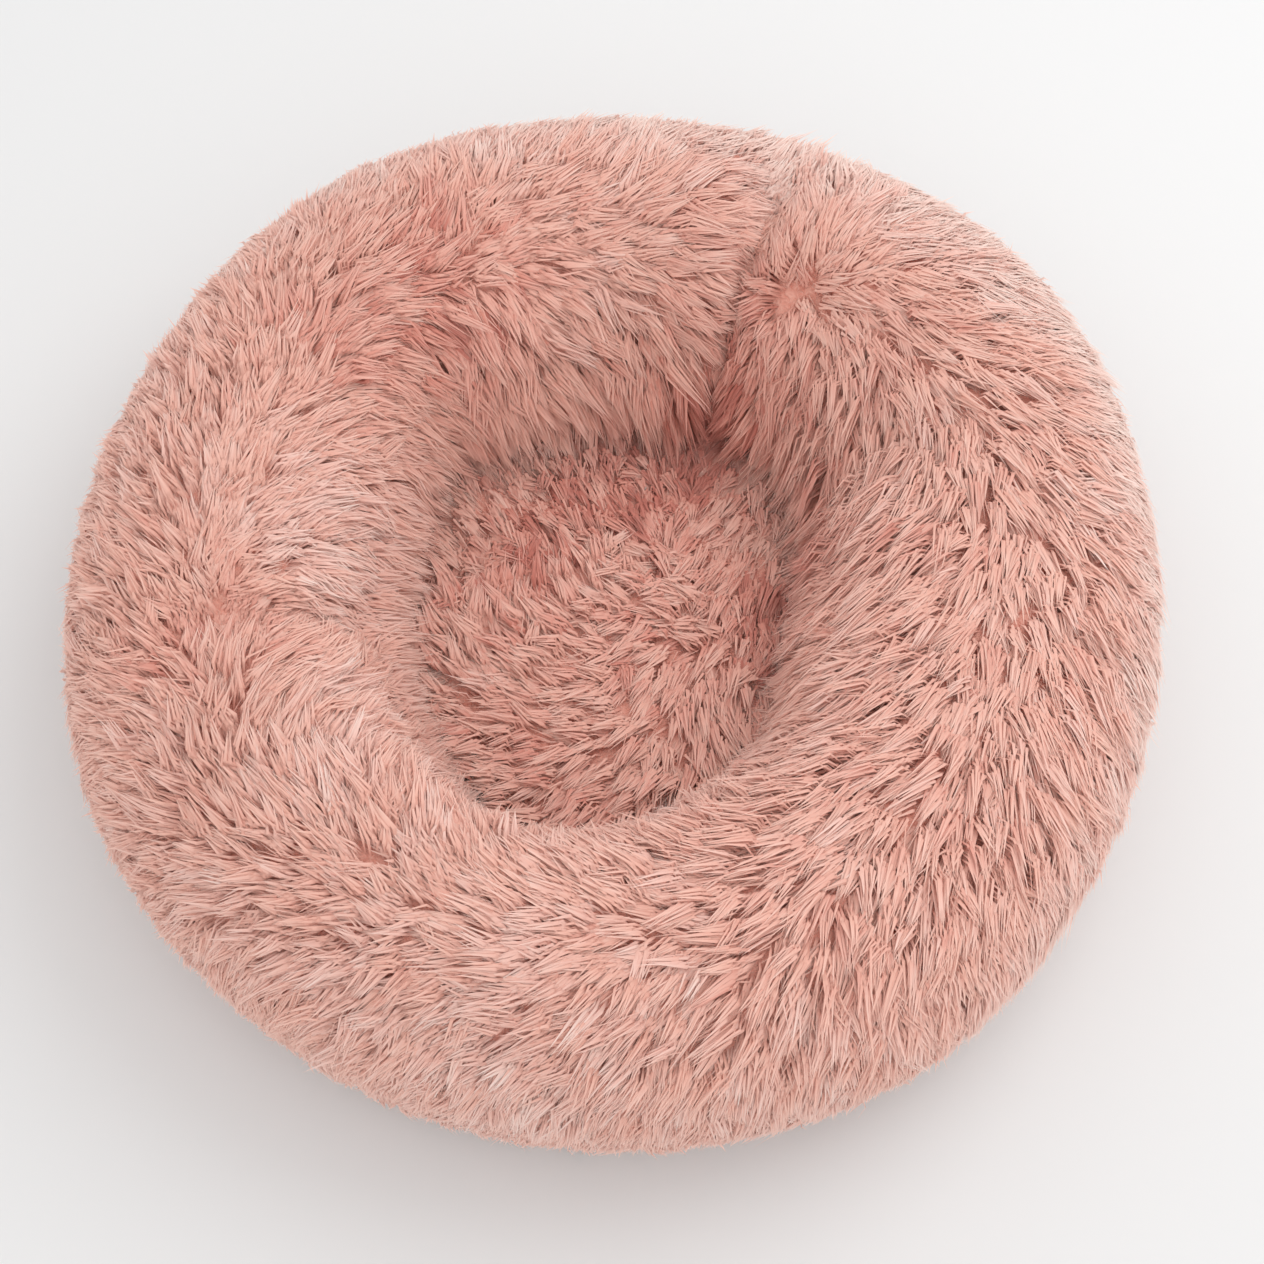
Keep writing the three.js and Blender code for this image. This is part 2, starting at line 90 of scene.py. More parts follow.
partings = [
    {"azimuth": 113, "turn": 113, "depth": 0.007, "length": 12, "width": 22},
    {"azimuth": 50, "turn": 112, "depth": 0.007, "length": 11, "width": 22},
    {"azimuth": 274, "turn": 80, "depth": 0.006, "length": 12, "width": 20},
    {"azimuth": 186, "turn": 92, "depth": 0.005, "length": 26, "width": 16},
    {"azimuth": 350, "turn": 90, "depth": 0.004, "length": 28, "width": 16},
    {"azimuth": 83, "turn": 119, "depth": 0.004, "length": 13, "width": 14},
]
base_top = 0.0024
seat_gap = 0.0003
bag_thickness = 0.001
bag_inset = 0.0163
stuffing_inset = bag_inset + bag_thickness + seat_gap


def azimuth_from(azimuth, middle):
    """Degrees round the bed from a middle azimuth, from -180 to 180."""
    return (azimuth - middle + 540) % 360 - 180


def nearness(azimuth, feature):
    away = np.abs(azimuth_from(azimuth, feature["azimuth"]))
    return np.exp(-((away / feature["spread"]) ** 2))


def lobe_sum(azimuth, lobes, key):
    return sum(lobe[key] * nearness(azimuth, lobe) for lobe in lobes)


def fade(distance, length):
    share = np.clip(distance / length, 0, 1)
    return share * share * (3 - 2 * share)


def along_crease(crease, turn):
    """1 along a crease, falling to 0 at its ends."""
    return fade(turn - crease["from_turn"], crease_fade) * fade(crease["to_turn"] - turn, crease_fade)


def crease_share(azimuth, turn):
    """The share of the rim's thickness that the creases take away."""
    share = np.zeros_like(turn)
    for crease in creases:
        share = share + crease["depth"] * nearness(azimuth, crease) * along_crease(crease, turn)
    return share


def parting_dip(azimuth, turn):
    """How far the face of the pile dips where it parts."""
    dip = np.zeros_like(turn)
    for parting in partings:
        along = nearness(azimuth, {"azimuth": parting["azimuth"], "spread": parting["length"]})
        dip = dip + parting["depth"] * along * np.exp(-(((turn - parting["turn"]) / parting["width"]) ** 2))
    return dip


def rim_point(azimuth, turn, inset, sole=base_top + seat_gap):
    """A place on the rim: turn 0 faces out, 90 up, 180 the hollow; inset is its depth in the laid pile."""
    azimuth, turn = np.broadcast_arrays(np.asarray(azimuth, float), np.asarray(turn, float))
    across = np.cos(np.radians(turn))
    up = np.sin(np.radians(turn))
    lift = np.where(turn > 180, 0, fade(turn - outer_hem_turn, -outer_hem_turn))
    outer_reach = bed_radius - rim_centre_radius + lobe_sum(azimuth, outer_lobes, "reach") * lift
    inner_reach = rim_centre_radius - hollow_radius - lobe_sum(azimuth, hollow_lobes, "reach")
    crest_reach = rim_height - rim_waist_height + lobe_sum(azimuth, outer_lobes, "rise")
    fullness = np.where(up < 0, lower_fullness, upper_fullness)
    width = np.where(across < 0, inner_reach, outer_reach) - inset
    height = np.where(up < 0, rim_waist_height - sole, crest_reach - inset)
    drawn = 1 - crease_share(azimuth, turn)
    side = np.sign(across) * np.abs(across) ** (2 / fullness)
    sagging = -np.minimum(1, sag_share * np.abs(up) ** (2 / fullness))
    level = np.where(up < 0, sagging, np.abs(up) ** (2 / fullness))
    radius = rim_centre_radius + width * side * drawn
    upright = rim_waist_height + height * level * drawn
    angle = np.radians(azimuth)
    return np.stack([radius * np.cos(angle), radius * np.sin(angle), upright], -1)


def new_piece(name, points, faces, material):
    """A smooth mesh piece of the bed, from points in the bed's own frame."""
    mesh = bpy.data.meshes.new(name)
    mesh.from_pydata([tuple(place) for place in points], [], faces)
    mesh.materials.append(material)
    mesh.polygons.foreach_set("use_smooth", [True] * len(mesh.polygons))
    piece = bpy.data.objects.new(name, mesh)
    bpy.context.scene.collection.objects.link(piece)
    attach(piece, "bed")
    return piece


def ring_faces(stations, corners, first=0):
    """Quads over a ring of closed sections, facing out where the sections run with the turn."""
    faces = []
    for station in range(stations):
        here = first + station * corners
        after = first + (station + 1) % stations * corners
        for corner in range(corners):
            beyond = (corner + 1) % corners
            faces.append((here + corner, after + corner, after + beyond, here + beyond))
    return faces


def ring_points(stations, section):
    """The points of a ring whose section at an azimuth is a function's list of places."""
    return np.concatenate([section(360 * station / stations) for station in range(stations)])


def plain_finish(name, roughness, sheen=0.0):
    """A new material with its shader set, and the tree and the Object coordinates to add a pattern to."""
    material = bpy.data.materials.new(name)
    material.use_nodes = True
    tree = material.node_tree
    shader = tree.nodes["Principled BSDF"]
    shader.inputs["Roughness"].default_value = roughness
    shader.inputs["Sheen Weight"].default_value = sheen
    place = tree.nodes.new("ShaderNodeTexCoord").outputs["Object"]
    return material, tree, shader, place


def texture(tree, place, kind, **settings):
    """A procedural texture of Blender's on the piece's Object coordinates, with its settings."""
    node = tree.nodes.new(kind)
    for name, value in settings.items():
        node.inputs[name].default_value = value
    tree.links.new(place, node.inputs["Vector"])
    return node


def colour_ramp(tree, source, stops):
    ramp = tree.nodes.new("ShaderNodeValToRGB")
    while len(ramp.color_ramp.elements) < len(stops):
        ramp.color_ramp.elements.new(0.5)
    for element, (position, colour) in zip(ramp.color_ramp.elements, stops):
        element.position = position
        element.color = (*colour, 1)
    tree.links.new(source, ramp.inputs["Fac"])
    return ramp.outputs["Color"]


def paint(tree, shader, source, stops):
    """Gives a surface the colours of a ramp over a texture."""
    tree.links.new(colour_ramp(tree, source, stops), shader.inputs["Base Color"])


def add_bump(tree, shader, height, strength, distance):
    bump = tree.nodes.new("ShaderNodeBump")
    bump.inputs["Strength"].default_value = strength
    bump.inputs["Distance"].default_value = distance
    tree.links.new(height, bump.inputs["Height"])
    tree.links.new(bump.outputs["Normal"], shader.inputs["Normal"])


def fibre_finish():
    """White crimped fibre: fine tangled threads with soft shadows between them."""
    material, tree, shader, place = plain_finish("fibre_fill", 0.95, sheen=0.2)
    tangle = texture(tree, place, "ShaderNodeTexNoise", Scale=220, Detail=6, Distortion=2.5)
    whites = [(0.35, (0.74, 0.73, 0.70)), (0.65, (0.93, 0.92, 0.90))]
    paint(tree, shader, tangle.outputs["Fac"], whites)
    add_bump(tree, shader, tangle.outputs["Fac"], 0.8, 0.002)
    return material


fibre = fibre_finish()
rim_stations = 120
corner_count = 60
rim_turns = outer_hem_turn + np.arange(corner_count) * 360 / corner_count
stuffing_sole = base_top + 2 * seat_gap + bag_thickness
rim_stuffing = new_piece(
    "rim_stuffing",
    ring_points(rim_stations, lambda azimuth: rim_point(azimuth, rim_turns, stuffing_inset, stuffing_sole)),
    ring_faces(rim_stations, corner_count),
    fibre,
)
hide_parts("rim_filling")


# Inner bag of the rim
# White spunbonded cloth, sewn into a ring tube round the fibre. Its dimples are the points at which
# the cloth is bonded.
def bag_finish():
    material, tree, shader, place = plain_finish("spunbond_cloth", 0.85)
    dimples = texture(tree, place, "ShaderNodeTexVoronoi", Scale=520, Randomness=0.25)
    whites = [(0.1, (0.70, 0.69, 0.66)), (0.45, (0.86, 0.85, 0.82))]
    paint(tree, shader, dimples.outputs["Distance"], whites)
    add_bump(tree, shader, dimples.outputs["Distance"], 0.5, 0.0004)
    return material


bag_cloth = bag_finish()
half_cloth = bag_thickness / 2
bag_outside = ring_points(rim_stations, lambda azimuth: rim_point(azimuth, rim_turns, bag_inset))
bag_inside = ring_points(
    rim_stations,
    lambda azimuth: rim_point(azimuth, rim_turns, bag_inset + half_cloth, base_top + seat_gap + half_cloth),
)
inside_faces = [tuple(reversed(face)) for face in ring_faces(rim_stations, corner_count, len(bag_outside))]
rim_inner_bag = new_piece(
    "rim_inner_bag",
    np.concatenate([bag_outside, bag_inside]),
    ring_faces(rim_stations, corner_count) + inside_faces,
    bag_cloth,
)
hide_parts("rim_bag")


# Sleeve of the rim
# Knitted polyester backing that carries the pile, drawn over the bag from the side band over the crest
# and down to the pad.
def backing_finish():
    """Rows of small knitted loops in the deep colour of the pile's roots, darker than the fibres as painted
    shade for the gaps between the locks.
    """
    material, tree, shader, place = plain_finish("plush_backing", 0.95, sheen=0.2)
    loops = texture(tree, place, "ShaderNodeTexVoronoi", Scale=600)
    # Painted shade: the backing's dark red stands for the shade in the gaps between the locks
    paint(tree, shader, loops.outputs["Distance"], [(0, (0.50, 0.24, 0.20)), (1, (0.66, 0.36, 0.31))])
    add_bump(tree, shader, loops.outputs["Distance"], 0.4, 0.0005)
    return material


backing = backing_finish()
pile_depth = 0.015
backing_thickness = 0.0009
sleeve_corners = 60
sleeve_turns = np.linspace(outer_hem_turn, inner_hem_turn, sleeve_corners)


def sleeve_section(azimuth):
    outside = rim_point(azimuth, sleeve_turns, pile_depth)
    inside = rim_point(azimuth, sleeve_turns[::-1], pile_depth + backing_thickness)
    return np.concatenate([outside, inside])


rim_backing = new_piece(
    "rim_backing",
    ring_points(rim_stations, sleeve_section),
    ring_faces(rim_stations, 2 * sleeve_corners),
    backing,
)
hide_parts("rim_cover")


# Underfur of the rim
# The dense crimped foot of the pile, which closes over the backing and hides it wherever the long
# fibres part.
def underfur_finish():
    """Matted short fibres in the deep pink of the pile's roots, made deeper and redder than the fibres as
    painted shade for the gaps between the locks.
    """
    material, tree, shader, place = plain_finish("underfur", 0.9, sheen=0.4)
    tufts = texture(tree, place, "ShaderNodeTexNoise", Scale=260, Detail=5, Distortion=1.5)
    # Painted shade: the underfur's deep red stands for the shade in the gaps between the locks
    paint(tree, shader, tufts.outputs["Fac"], [(0.3, (0.80, 0.31, 0.23)), (0.7, (0.93, 0.48, 0.38))])
    add_bump(tree, shader, tufts.outputs["Fac"], 0.7, 0.002)
    return material


underfur = underfur_finish()
underfur_inset = 0.0060
underfur_dip_share = 0.6
outer_underfur_rise = 0.0015
far_underfur_rise = 0.002
far_edge = {"azimuth": 50, "spread": 80}
outer_side_turn = 40
outer_side_fade = 40
crease_hollow = 0.022


def underfur_section(azimuth):
    inset = underfur_inset + parting_dip(azimuth, sleeve_turns) * underfur_dip_share
    rise = outer_underfur_rise + far_underfur_rise * nearness(azimuth, far_edge)
    inset = inset - rise * (1 - fade(sleeve_turns - outer_side_turn, outer_side_fade))
    inset = inset + crease_hollow * crease_share(azimuth, sleeve_turns)
    outside = rim_point(azimuth, sleeve_turns, inset)
    inside = rim_point(azimuth, sleeve_turns[::-1], pile_depth - seat_gap)
    return np.concatenate([outside, inside])


new_piece(
    "rim_underfur",
    ring_points(rim_stations, underfur_section),
    ring_faces(rim_stations, 2 * sleeve_corners),
    underfur,
)


# Stuffing, bag and backing of the pad
# A thick disc of the same fibre in the same two cloths. It fills the middle of the base and creeps a
# little way under the rim.
pad_edge_height = 0.055
pad_crown_rise = 0.014
pad_pile_depth = 0.012
pad_meet_turn = 193
pad_side_turn = 222
pad_foot_inset = 0.012
pad_sole_margin = 0.030
pad_edge_round = 0.004
pad_edge_rise = 0.006
crown_shares = np.linspace(0.97, 0.1, 12)
pad_stations = 120

# Where the pile of the pad parts: x, y, reach, depth
pad_partings = [
    (-0.055, 0.040, 0.020, 0.0045), (-0.030, 0.047, 0.013, 0.0030), (-0.045, 0.084, 0.011, 0.0045),
    (-0.010, 0.088, 0.011, 0.0040), (0.020, 0.090, 0.011, 0.0040), (0.046, 0.108, 0.020, 0.0060),
    (0.040, -0.018, 0.009, 0.0035), (-0.128, 0.010, 0.020, 0.0035), (0.110, 0.050, 0.016, 0.0040),
]


def pad_reach(azimuth):
    edge = rim_point(azimuth, pad_meet_turn, 0)
    return np.hypot(edge[..., 0], edge[..., 1])


def pad_point(azimuth, share, inset):
    """A place on the pad's top: share 0 is its middle and 1 its edge."""
    azimuth, share = np.broadcast_arrays(np.asarray(azimuth, float), np.asarray(share, float))
    angle = np.radians(azimuth)
    radius = pad_reach(azimuth) * share
    height = pad_edge_height + pad_crown_rise * (1 - share ** 2) - inset
    return np.stack([radius * np.cos(angle), radius * np.sin(angle), height], -1)


def pad_dip(points):
    """How far the pile of the pad dips where it parts."""
    dip = np.zeros(len(points))
    for x, y, reach, depth in pad_partings:
        away = np.hypot(points[:, 0] - x, points[:, 1] - y)
        dip += depth * np.exp(-((away / reach) ** 2))
    return dip


def pad_faces(rings, first=0):
    """Faces over the rings of a disc, from the middle of its underside to the middle of its top."""
    faces = []
    top = first + 1 + rings * pad_stations
    for station in range(pad_stations):
        beyond = (station + 1) % pad_stations
        faces.append((first, first + 1 + beyond, first + 1 + station))
        for ring in range(rings - 1):
            here = first + 1 + ring * pad_stations
            above = here + pad_stations
            faces.append((here + station, here + beyond, above + beyond, above + station))
        last = first + 1 + (rings - 1) * pad_stations
        faces.append((last + station, last + beyond, top))
    return faces


pad_azimuths = np.arange(pad_stations) * 360 / pad_stations


def stuffed_disc(inset):
    """Rings of the pad's stuffing, whose side lies against the rim's."""
    sole = base_top + seat_gap + inset
    side = rim_point(pad_azimuths, pad_side_turn, bag_inset + inset)
    flat = side[:, :2]
    away = flat / np.linalg.norm(flat, axis=-1, keepdims=True)
    roof = pad_edge_height - pad_pile_depth - backing_thickness - seat_gap - inset
    rings = []
    foot = [(pad_sole_margin + pad_foot_inset, sole), (pad_foot_inset, sole)]
    for back, height in foot + [(pad_edge_round, sole + pad_edge_round)]:
        rings.append(np.column_stack([flat - away * (inset + back), np.full(pad_stations, height)]))
    heights = np.clip(side[:, 2], sole + pad_edge_rise, roof - pad_edge_round)
    rings.append(np.column_stack([flat - away * inset, heights]))
    for share in crown_shares:
        crown = pad_point(pad_azimuths, share, 0)
        crown[:, 2] += roof - pad_edge_height
        rings.append(crown)
    points = [np.array([[0, 0, sole]]), *rings, np.array([[0, 0, roof + pad_crown_rise]])]
    return np.concatenate(points), len(rings)


disc_points, disc_rings = stuffed_disc(bag_thickness + seat_gap)
pad_stuffing = new_piece("pad_stuffing", disc_points, pad_faces(disc_rings), fibre)
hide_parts("pad_filling")

bag_points, bag_rings = stuffed_disc(0)
lining_points, lining_rings = stuffed_disc(bag_thickness / 2)
lining_faces = [tuple(reversed(face)) for face in pad_faces(lining_rings, len(bag_points))]
pad_inner_bag = new_piece(
    "pad_inner_bag",
    np.concatenate([bag_points, lining_points]),
    pad_faces(bag_rings) + lining_faces,
    bag_cloth,
)
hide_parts("pad_bag")

backing_shares = np.linspace(0.08, 1, 16)
under_rings = [pad_point(pad_azimuths, share, pad_pile_depth + backing_thickness) for share in backing_shares]
over_rings = [pad_point(pad_azimuths, share, pad_pile_depth) for share in backing_shares[::-1]]


def pad_middle(depth):
    """A place in the middle of the pad, at a depth below the face of its backing."""
    return [[0, 0, pad_edge_height + pad_crown_rise - pad_pile_depth - depth]]


pad_backing = new_piece(
    "pad_backing",
    np.concatenate([pad_middle(backing_thickness), *under_rings, *over_rings, pad_middle(0)]),
    pad_faces(2 * len(backing_shares)),
    backing,
)
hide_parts("pad_cover")

pad_underfur_inset = 0.0045
foot_rings = [pad_point(pad_azimuths, share, pad_pile_depth - seat_gap) for share in backing_shares]
matted_rings = [pad_point(pad_azimuths, share, pad_underfur_inset) for share in backing_shares[::-1]]
for ring in matted_rings:
    ring[:, 2] -= pad_dip(ring)
new_piece(
    "pad_underfur",
    np.concatenate([
        pad_middle(-seat_gap), *foot_rings, *matted_rings, pad_middle(pad_underfur_inset - pad_pile_depth),
    ]),
    pad_faces(2 * len(backing_shares)),
    underfur,
)


# Long pile
# Acrylic fibres 28 mm long, knitted into the backing. They gather in soft flat locks that run clockwise
# along the crest and swing outwards or into the hollow on either side of it, as hands have combed them.
random = np.random.default_rng(11)
lock_spacing = 0.006
strands_per_lock = 20
pile_rise = 0.0155
pile_run = 0.023
strand_width = 0.0015
strand_depth = 0.0006
normal_lean = 0.55
side_turn = 0.3

# Unevenness from lock to lock: headings in degrees, the curl in metres, the rest as shares
heading_jitter = 7
heading_sway = 13
heading_ripple = 8
rise_jitter = 0.04
tousled_rise_jitter = 0.13
unsure_rise = 0.15
run_jitter = 0.16
unsure_run = 0.6
middle_shade = 0.5
shade_sway = 0.09
shade_jitter = 0.10
least_shade = 0.26
lock_curl = 0.0024
lock_spread = 0.45
silky_gather = 0.2
tousled_gather = 0.4
gather_jitter = 0.15
most_gather = 0.95

# Unevenness from strand to strand, and of the few that stray from their lock
strand_rise_jitter = 0.08
strand_run_jitter = 0.17
strand_curl = 0.0007
strand_drift = 0.0009
strand_shade_jitter = 0.06
strand_width_jitter = 0.22
narrowest_strand = 0.5
widest_strand = 1.6
stray_share = 0.08
stray_rise = 1.08
stray_curl = 0.0016
stray_drift = 0.004
stray_width = 0.4

# How far a strand has risen, run, been drawn in, bent and sagged at its root, its bend and its tip
rise_steps = np.array([0, 0.93, 1])
run_steps = np.array([0, 0.36, 1])
pull_steps = np.array([0, 0.4, 1])
bend_steps = np.array([0, 1, 0])
sag_steps = np.array([0, 0, 0.0018])
lowest_tip = 0.0012

# Turn of the line along which the pile runs along the rim, every 30 degrees round it
ridge_turns = np.array([94, 108, 122, 120, 102, 102, 90, 66, 76, 78, 96, 92])
swing_limit = 85
swing_reach = 45
whorls = [
    {"azimuth": 113, "turn": 113, "reach": 0.028, "pull": 0.8, "twist": 0.2},
    {"azimuth": 50, "turn": 112, "reach": 0.034, "pull": 0.6, "twist": 0.25},
    {"azimuth": 203, "turn": 90, "reach": 0.026, "pull": 0.7, "twist": 0},
    {"azimuth": 274, "turn": 82, "reach": 0.022, "pull": 0.35, "twist": 0},
]
whorl_strength = 2
whorl_doubt = 0.35
least_sure = 0.3
hem_lift = 0.45
hem_lift_turn = 150
hem_lift_fade = 30
hem_lifts = [{"azimuth": 75, "spread": 60, "lift": 0.55}, {"azimuth": 185, "spread": 40, "lift": 0.8}]
spill_share = 0.8
spill_depth = 0.001
spill_edge = 1.02
spill_limit = 0.5
hem_root_height = 0.0215
hem_bend_height = 0.0205
hem_height = 0.0225
hem_clear_radius = 0.279
hem_reach = 0.24
zip_trim = {"azimuth": 90, "half_span": 43, "fade": 12, "height": 0.0205, "left": 0.15}
crease_pull = 5
crease_pull_reach = 2.2

# Patches painted darker or paler: painted shade along the creases, in their pits by the pad and on the shaded
# right inner wall, painted light on the lit left and far inner walls, and elsewhere changes of dye: azimuth,
# turn, reach, tint added
rim_patches = [
    (124, 120, 0.060, -0.36), (150, 105, 0.035, -0.22), (180, 142, 0.060, 0.32),
    (198, 84, 0.030, -0.36), (195, 118, 0.022, -0.25), (225, 45, 0.090, 0.06),
    (262, 45, 0.080, 0.20), (85, 150, 0.050, 0.18), (67, 165, 0.060, -0.42),
    (66, 190, 0.035, -0.50), (100, 192, 0.030, -0.25), (10, 175, 0.050, -0.35),
    (222, 125, 0.050, 0.16),
]

# The far edges are paler, where the light comes through the tips
pale_edge = {"azimuth": 50, "spread": 95, "tint": 0.62, "turn": 18, "width": 8, "fade": 45, "lost": 0.75}
edge_turn_middle = 20
edge_turn_swing = 20

# Where the pile parts in locks: azimuth, turn, reach
outer_tousle = 0.1
least_tousle = 0.25
most_tousle = 1.3
tousle_fade = 50
pale_calm = 25
tousled_patches = [
    (180, 65, 0.080), (155, 75, 0.060), (0, 80, 0.080),
    (320, 90, 0.080), (285, 60, 0.080), (240, 60, 0.070),
    (215, 70, 0.060), (35, 120, 0.060), (92, 150, 0.120),
    (20, 160, 0.060),
]

# Strokes of the comb over the pad: place, and the heading of the tips seen from above
pad_strokes = [
    (-0.003, -0.033, 180), (-0.026, -0.033, 165), (-0.051, -0.033, 155), (-0.076, -0.033, 125),
    (-0.101, -0.033, 140), (-0.076, -0.006, 95), (-0.101, -0.006, 120), (-0.026, -0.006, 130),
    (-0.026, 0.021, 135), (-0.003, 0.021, 120), (0.047, -0.006, 120), (-0.076, 0.021, 80),
    (-0.051, 0.021, 90), (-0.126, 0.021, 220), (-0.101, 0.021, 215), (-0.126, -0.006, 240),
    (-0.101, -0.060, 205), (-0.076, -0.060, 175), (-0.051, -0.060, 180), (-0.026, -0.060, 185),
    (-0.003, -0.060, 195), (0.022, -0.060, 235), (0.047, -0.060, 268), (0.072, -0.060, 280),
    (-0.076, -0.087, 170), (-0.051, -0.087, 172), (-0.026, -0.087, 200), (-0.003, -0.087, 210),
    (0.022, -0.087, 240), (0.047, -0.087, 265), (-0.026, -0.114, 215), (-0.003, -0.114, 220),
    (0.022, -0.114, 250), (0.022, -0.033, 245), (0.047, -0.033, 268), (0.072, -0.033, 275),
    (0.022, -0.006, 205), (0.072, -0.006, 262), (0.097, -0.006, 262), (0.072, 0.021, 242),
    (0.097, 0.021, 258), (0.072, 0.048, 245), (0.047, 0.048, 228), (0.097, 0.048, 250),
    (0.022, 0.048, 300), (-0.003, 0.048, 335), (-0.026, 0.048, 320), (-0.051, 0.048, 300),
    (-0.076, 0.048, 300), (-0.003, 0.075, 295), (-0.026, 0.075, 300), (-0.051, 0.075, 295),
    (-0.076, 0.075, 290), (-0.101, 0.075, 320), (0.022, 0.075, 290), (0.047, 0.075, 230),
    (0.072, 0.075, 238), (-0.101, 0.048, 340),
]
pad_stroke_reach = 0.018
stroke_blur = 0.006

# Patches of the pad painted darker, as painted shade in its pits, at the foot of the walls and under the
# overhang: x, y, reach, tint added
pad_painted_shade_patches = [
    (-0.05, 0.036, 0.032, -0.36), (0.100, 0.00, 0.042, -0.38), (0.00, 0.095, 0.045, -0.34),
    (0.055, 0.112, 0.030, -0.40), (-0.130, 0.00, 0.030, -0.25),
]

wave_length = 0.06
wave_group = 7
fine_wave_ratio = 2.2
wave_swell = 1.6
waves = random.normal(size=(3 * wave_group, 3)) * (2 * math.pi / wave_length)
waves[2 * wave_group:] *= fine_wave_ratio
wave_starts = random.uniform(0, 2 * math.pi, 3 * wave_group)


def ripple(points, group):
    """A smooth unevenness over the bed, from -1 to 1. The waves of group 2 are the finer ones."""
    chosen = slice(group * wave_group, (group + 1) * wave_group)
    waved = np.sin(points @ waves[chosen].T + wave_starts[chosen])
    return waved.sum(-1) / math.sqrt(wave_group / 2) / wave_swell


def unit(vectors):
    return vectors / np.maximum(np.linalg.norm(vectors, axis=-1, keepdims=True), 1e-9)


def closeness(points, middle, reach):
    """1 on a place, falling to 0 over a reach."""
    return np.exp(-(np.linalg.norm(points - middle, axis=-1) / reach) ** 2)


# Share of the texture's width that one strand takes up
shade_width = 1 / 96


def strand_mesh(name, spine, normals, widths, shades, material):
    """One mesh of flat tapered strands: a root, a ring of three corners and a tip, along each spine."""
    count = len(spine)
    along = unit(spine[:, 2] - spine[:, 0])
    across = unit(np.cross(along, normals))
    over = np.cross(across, along)
    half = widths[:, None] / 2
    lift = over * half * strand_depth / strand_width * 2
    middle = spine[:, 1]
    ring = [middle + across * half, middle + lift, middle - across * half]
    places = np.stack([spine[:, 0], *ring, spine[:, 2]], 1)
    faces = [(0, 1 + corner, 1 + (corner + 1) % 3) for corner in range(3)]
    faces += [(1 + corner, 4, 1 + (corner + 1) % 3) for corner in range(3)]
    smooth = [True, True, False] * 2
    corners = np.array([corner for face in faces for corner in face])
    strands = np.arange(count)[:, None]
    mesh = bpy.data.meshes.new(name)
    mesh.vertices.add(count * 5)
    mesh.vertices.foreach_set("co", places.astype(np.float32).ravel())
    mesh.loops.add(count * len(corners))
    mesh.loops.foreach_set("vertex_index", (strands * 5 + corners).astype(np.int32).ravel())
    mesh.polygons.add(count * len(faces))
    mesh.polygons.foreach_set("loop_start", np.arange(0, count * len(corners), 3).astype(np.int32))
    mesh.polygons.foreach_set("use_smooth", np.tile(smooth, count))
    mesh.update(calc_edges=True)
    mesh.materials.append(material)
    lean = unit(over * (1 - normal_lean) + normals * normal_lean)
    sideways = across * side_turn
    point_normals = np.stack([lean, unit(lean + sideways), lean, unit(lean - sideways), lean], 1)
    corner_normals = point_normals[:, corners].copy()
    corner_normals[:, np.repeat(np.logical_not(smooth), 3)] = -over[:, None]
    mesh.normals_split_custom_set(corner_normals.reshape(-1, 3))
    u = shades[:, None] * (1 - shade_width) + np.array([0.5, 0, 0.5, 1, 0.5])[corners] * shade_width
    v = np.broadcast_to(np.array([0, 0.5, 0.5, 0.5, 1])[corners], u.shape)
    layer = mesh.uv_layers.new(name="OFBake")
    layer.uv.foreach_set("vector", np.stack([u, v], -1).astype(np.float32).ravel())
    piece = bpy.data.objects.new(name, mesh)
    bpy.context.scene.collection.objects.link(piece)
    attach(piece, "bed")
    return piece


def pile_finish():
    """Fibres from a deep rose to a pale pink by the lock, deeper and redder towards the root: partly the
    fibres' own paler tips, partly painted shade in the gaps between the locks.
    """
    material, tree, shader, place = plain_finish("long_pile", 0.6, sheen=0.9)
    shader.inputs["Specular IOR Level"].default_value = 0.25
    shader.inputs["Sheen Roughness"].default_value = 0.5
    shader.inputs["Sheen Tint"].default_value = (1, 0.86, 0.80, 1)
    uv = tree.nodes.new("ShaderNodeUVMap")
    uv.uv_map = "OFBake"
    split = tree.nodes.new("ShaderNodeSeparateXYZ")
    tree.links.new(uv.outputs["UV"], split.inputs["Vector"])
    # The deepest rose is reached only where patches paint shade, and the palest pink mostly where the far
    # edges are painted paler as painted light
    pinks = [
        (0, (0.66, 0.25, 0.20)), (0.12, (0.86, 0.42, 0.34)), (0.28, (0.94, 0.55, 0.46)),
        (0.5, (0.97, 0.61, 0.51)), (0.78, (0.98, 0.67, 0.59)), (1, (1, 0.80, 0.73)),
    ]
    hue = colour_ramp(tree, split.outputs["X"], pinks)
    # Painted shade: the strands are multiplied darker and redder towards the root for the shade between the
    # locks, besides the paler tips the fibres have
    depth = colour_ramp(tree, split.outputs["Y"], [
        (0, (0.88, 0.53, 0.46)), (0.5, (0.90, 0.75, 0.71)), (0.85, (1, 0.99, 0.98)),
    ])
    mix = tree.nodes.new("ShaderNodeMix")
    mix.data_type = "RGBA"
    mix.blend_type = "MULTIPLY"
    mix.inputs["Factor"].default_value = 1
    tree.links.new(hue, mix.inputs["A"])
    tree.links.new(depth, mix.inputs["B"])
    tree.links.new(mix.outputs["Result"], shader.inputs["Base Color"])
    return material


pile = pile_finish()


def spill(spine):
    """Strands that would reach into the pad lie over it instead, towards its middle."""
    azimuth = np.degrees(np.arctan2(spine[..., 1], spine[..., 0])) % 360
    radius = np.hypot(spine[..., 0], spine[..., 1])
    share = radius / pad_reach(azimuth)
    face = pad_edge_height + pad_crown_rise * (1 - np.minimum(share, 1) ** 2) - spill_depth
    short = np.where(share < spill_edge, np.maximum(face - spine[..., 2], 0), 0)
    inward = 1 - np.minimum(spill_share * short / np.maximum(radius, 0.01), spill_limit)
    spine[..., 2] += short
    spine[..., :2] *= inward[..., None]
    return spine


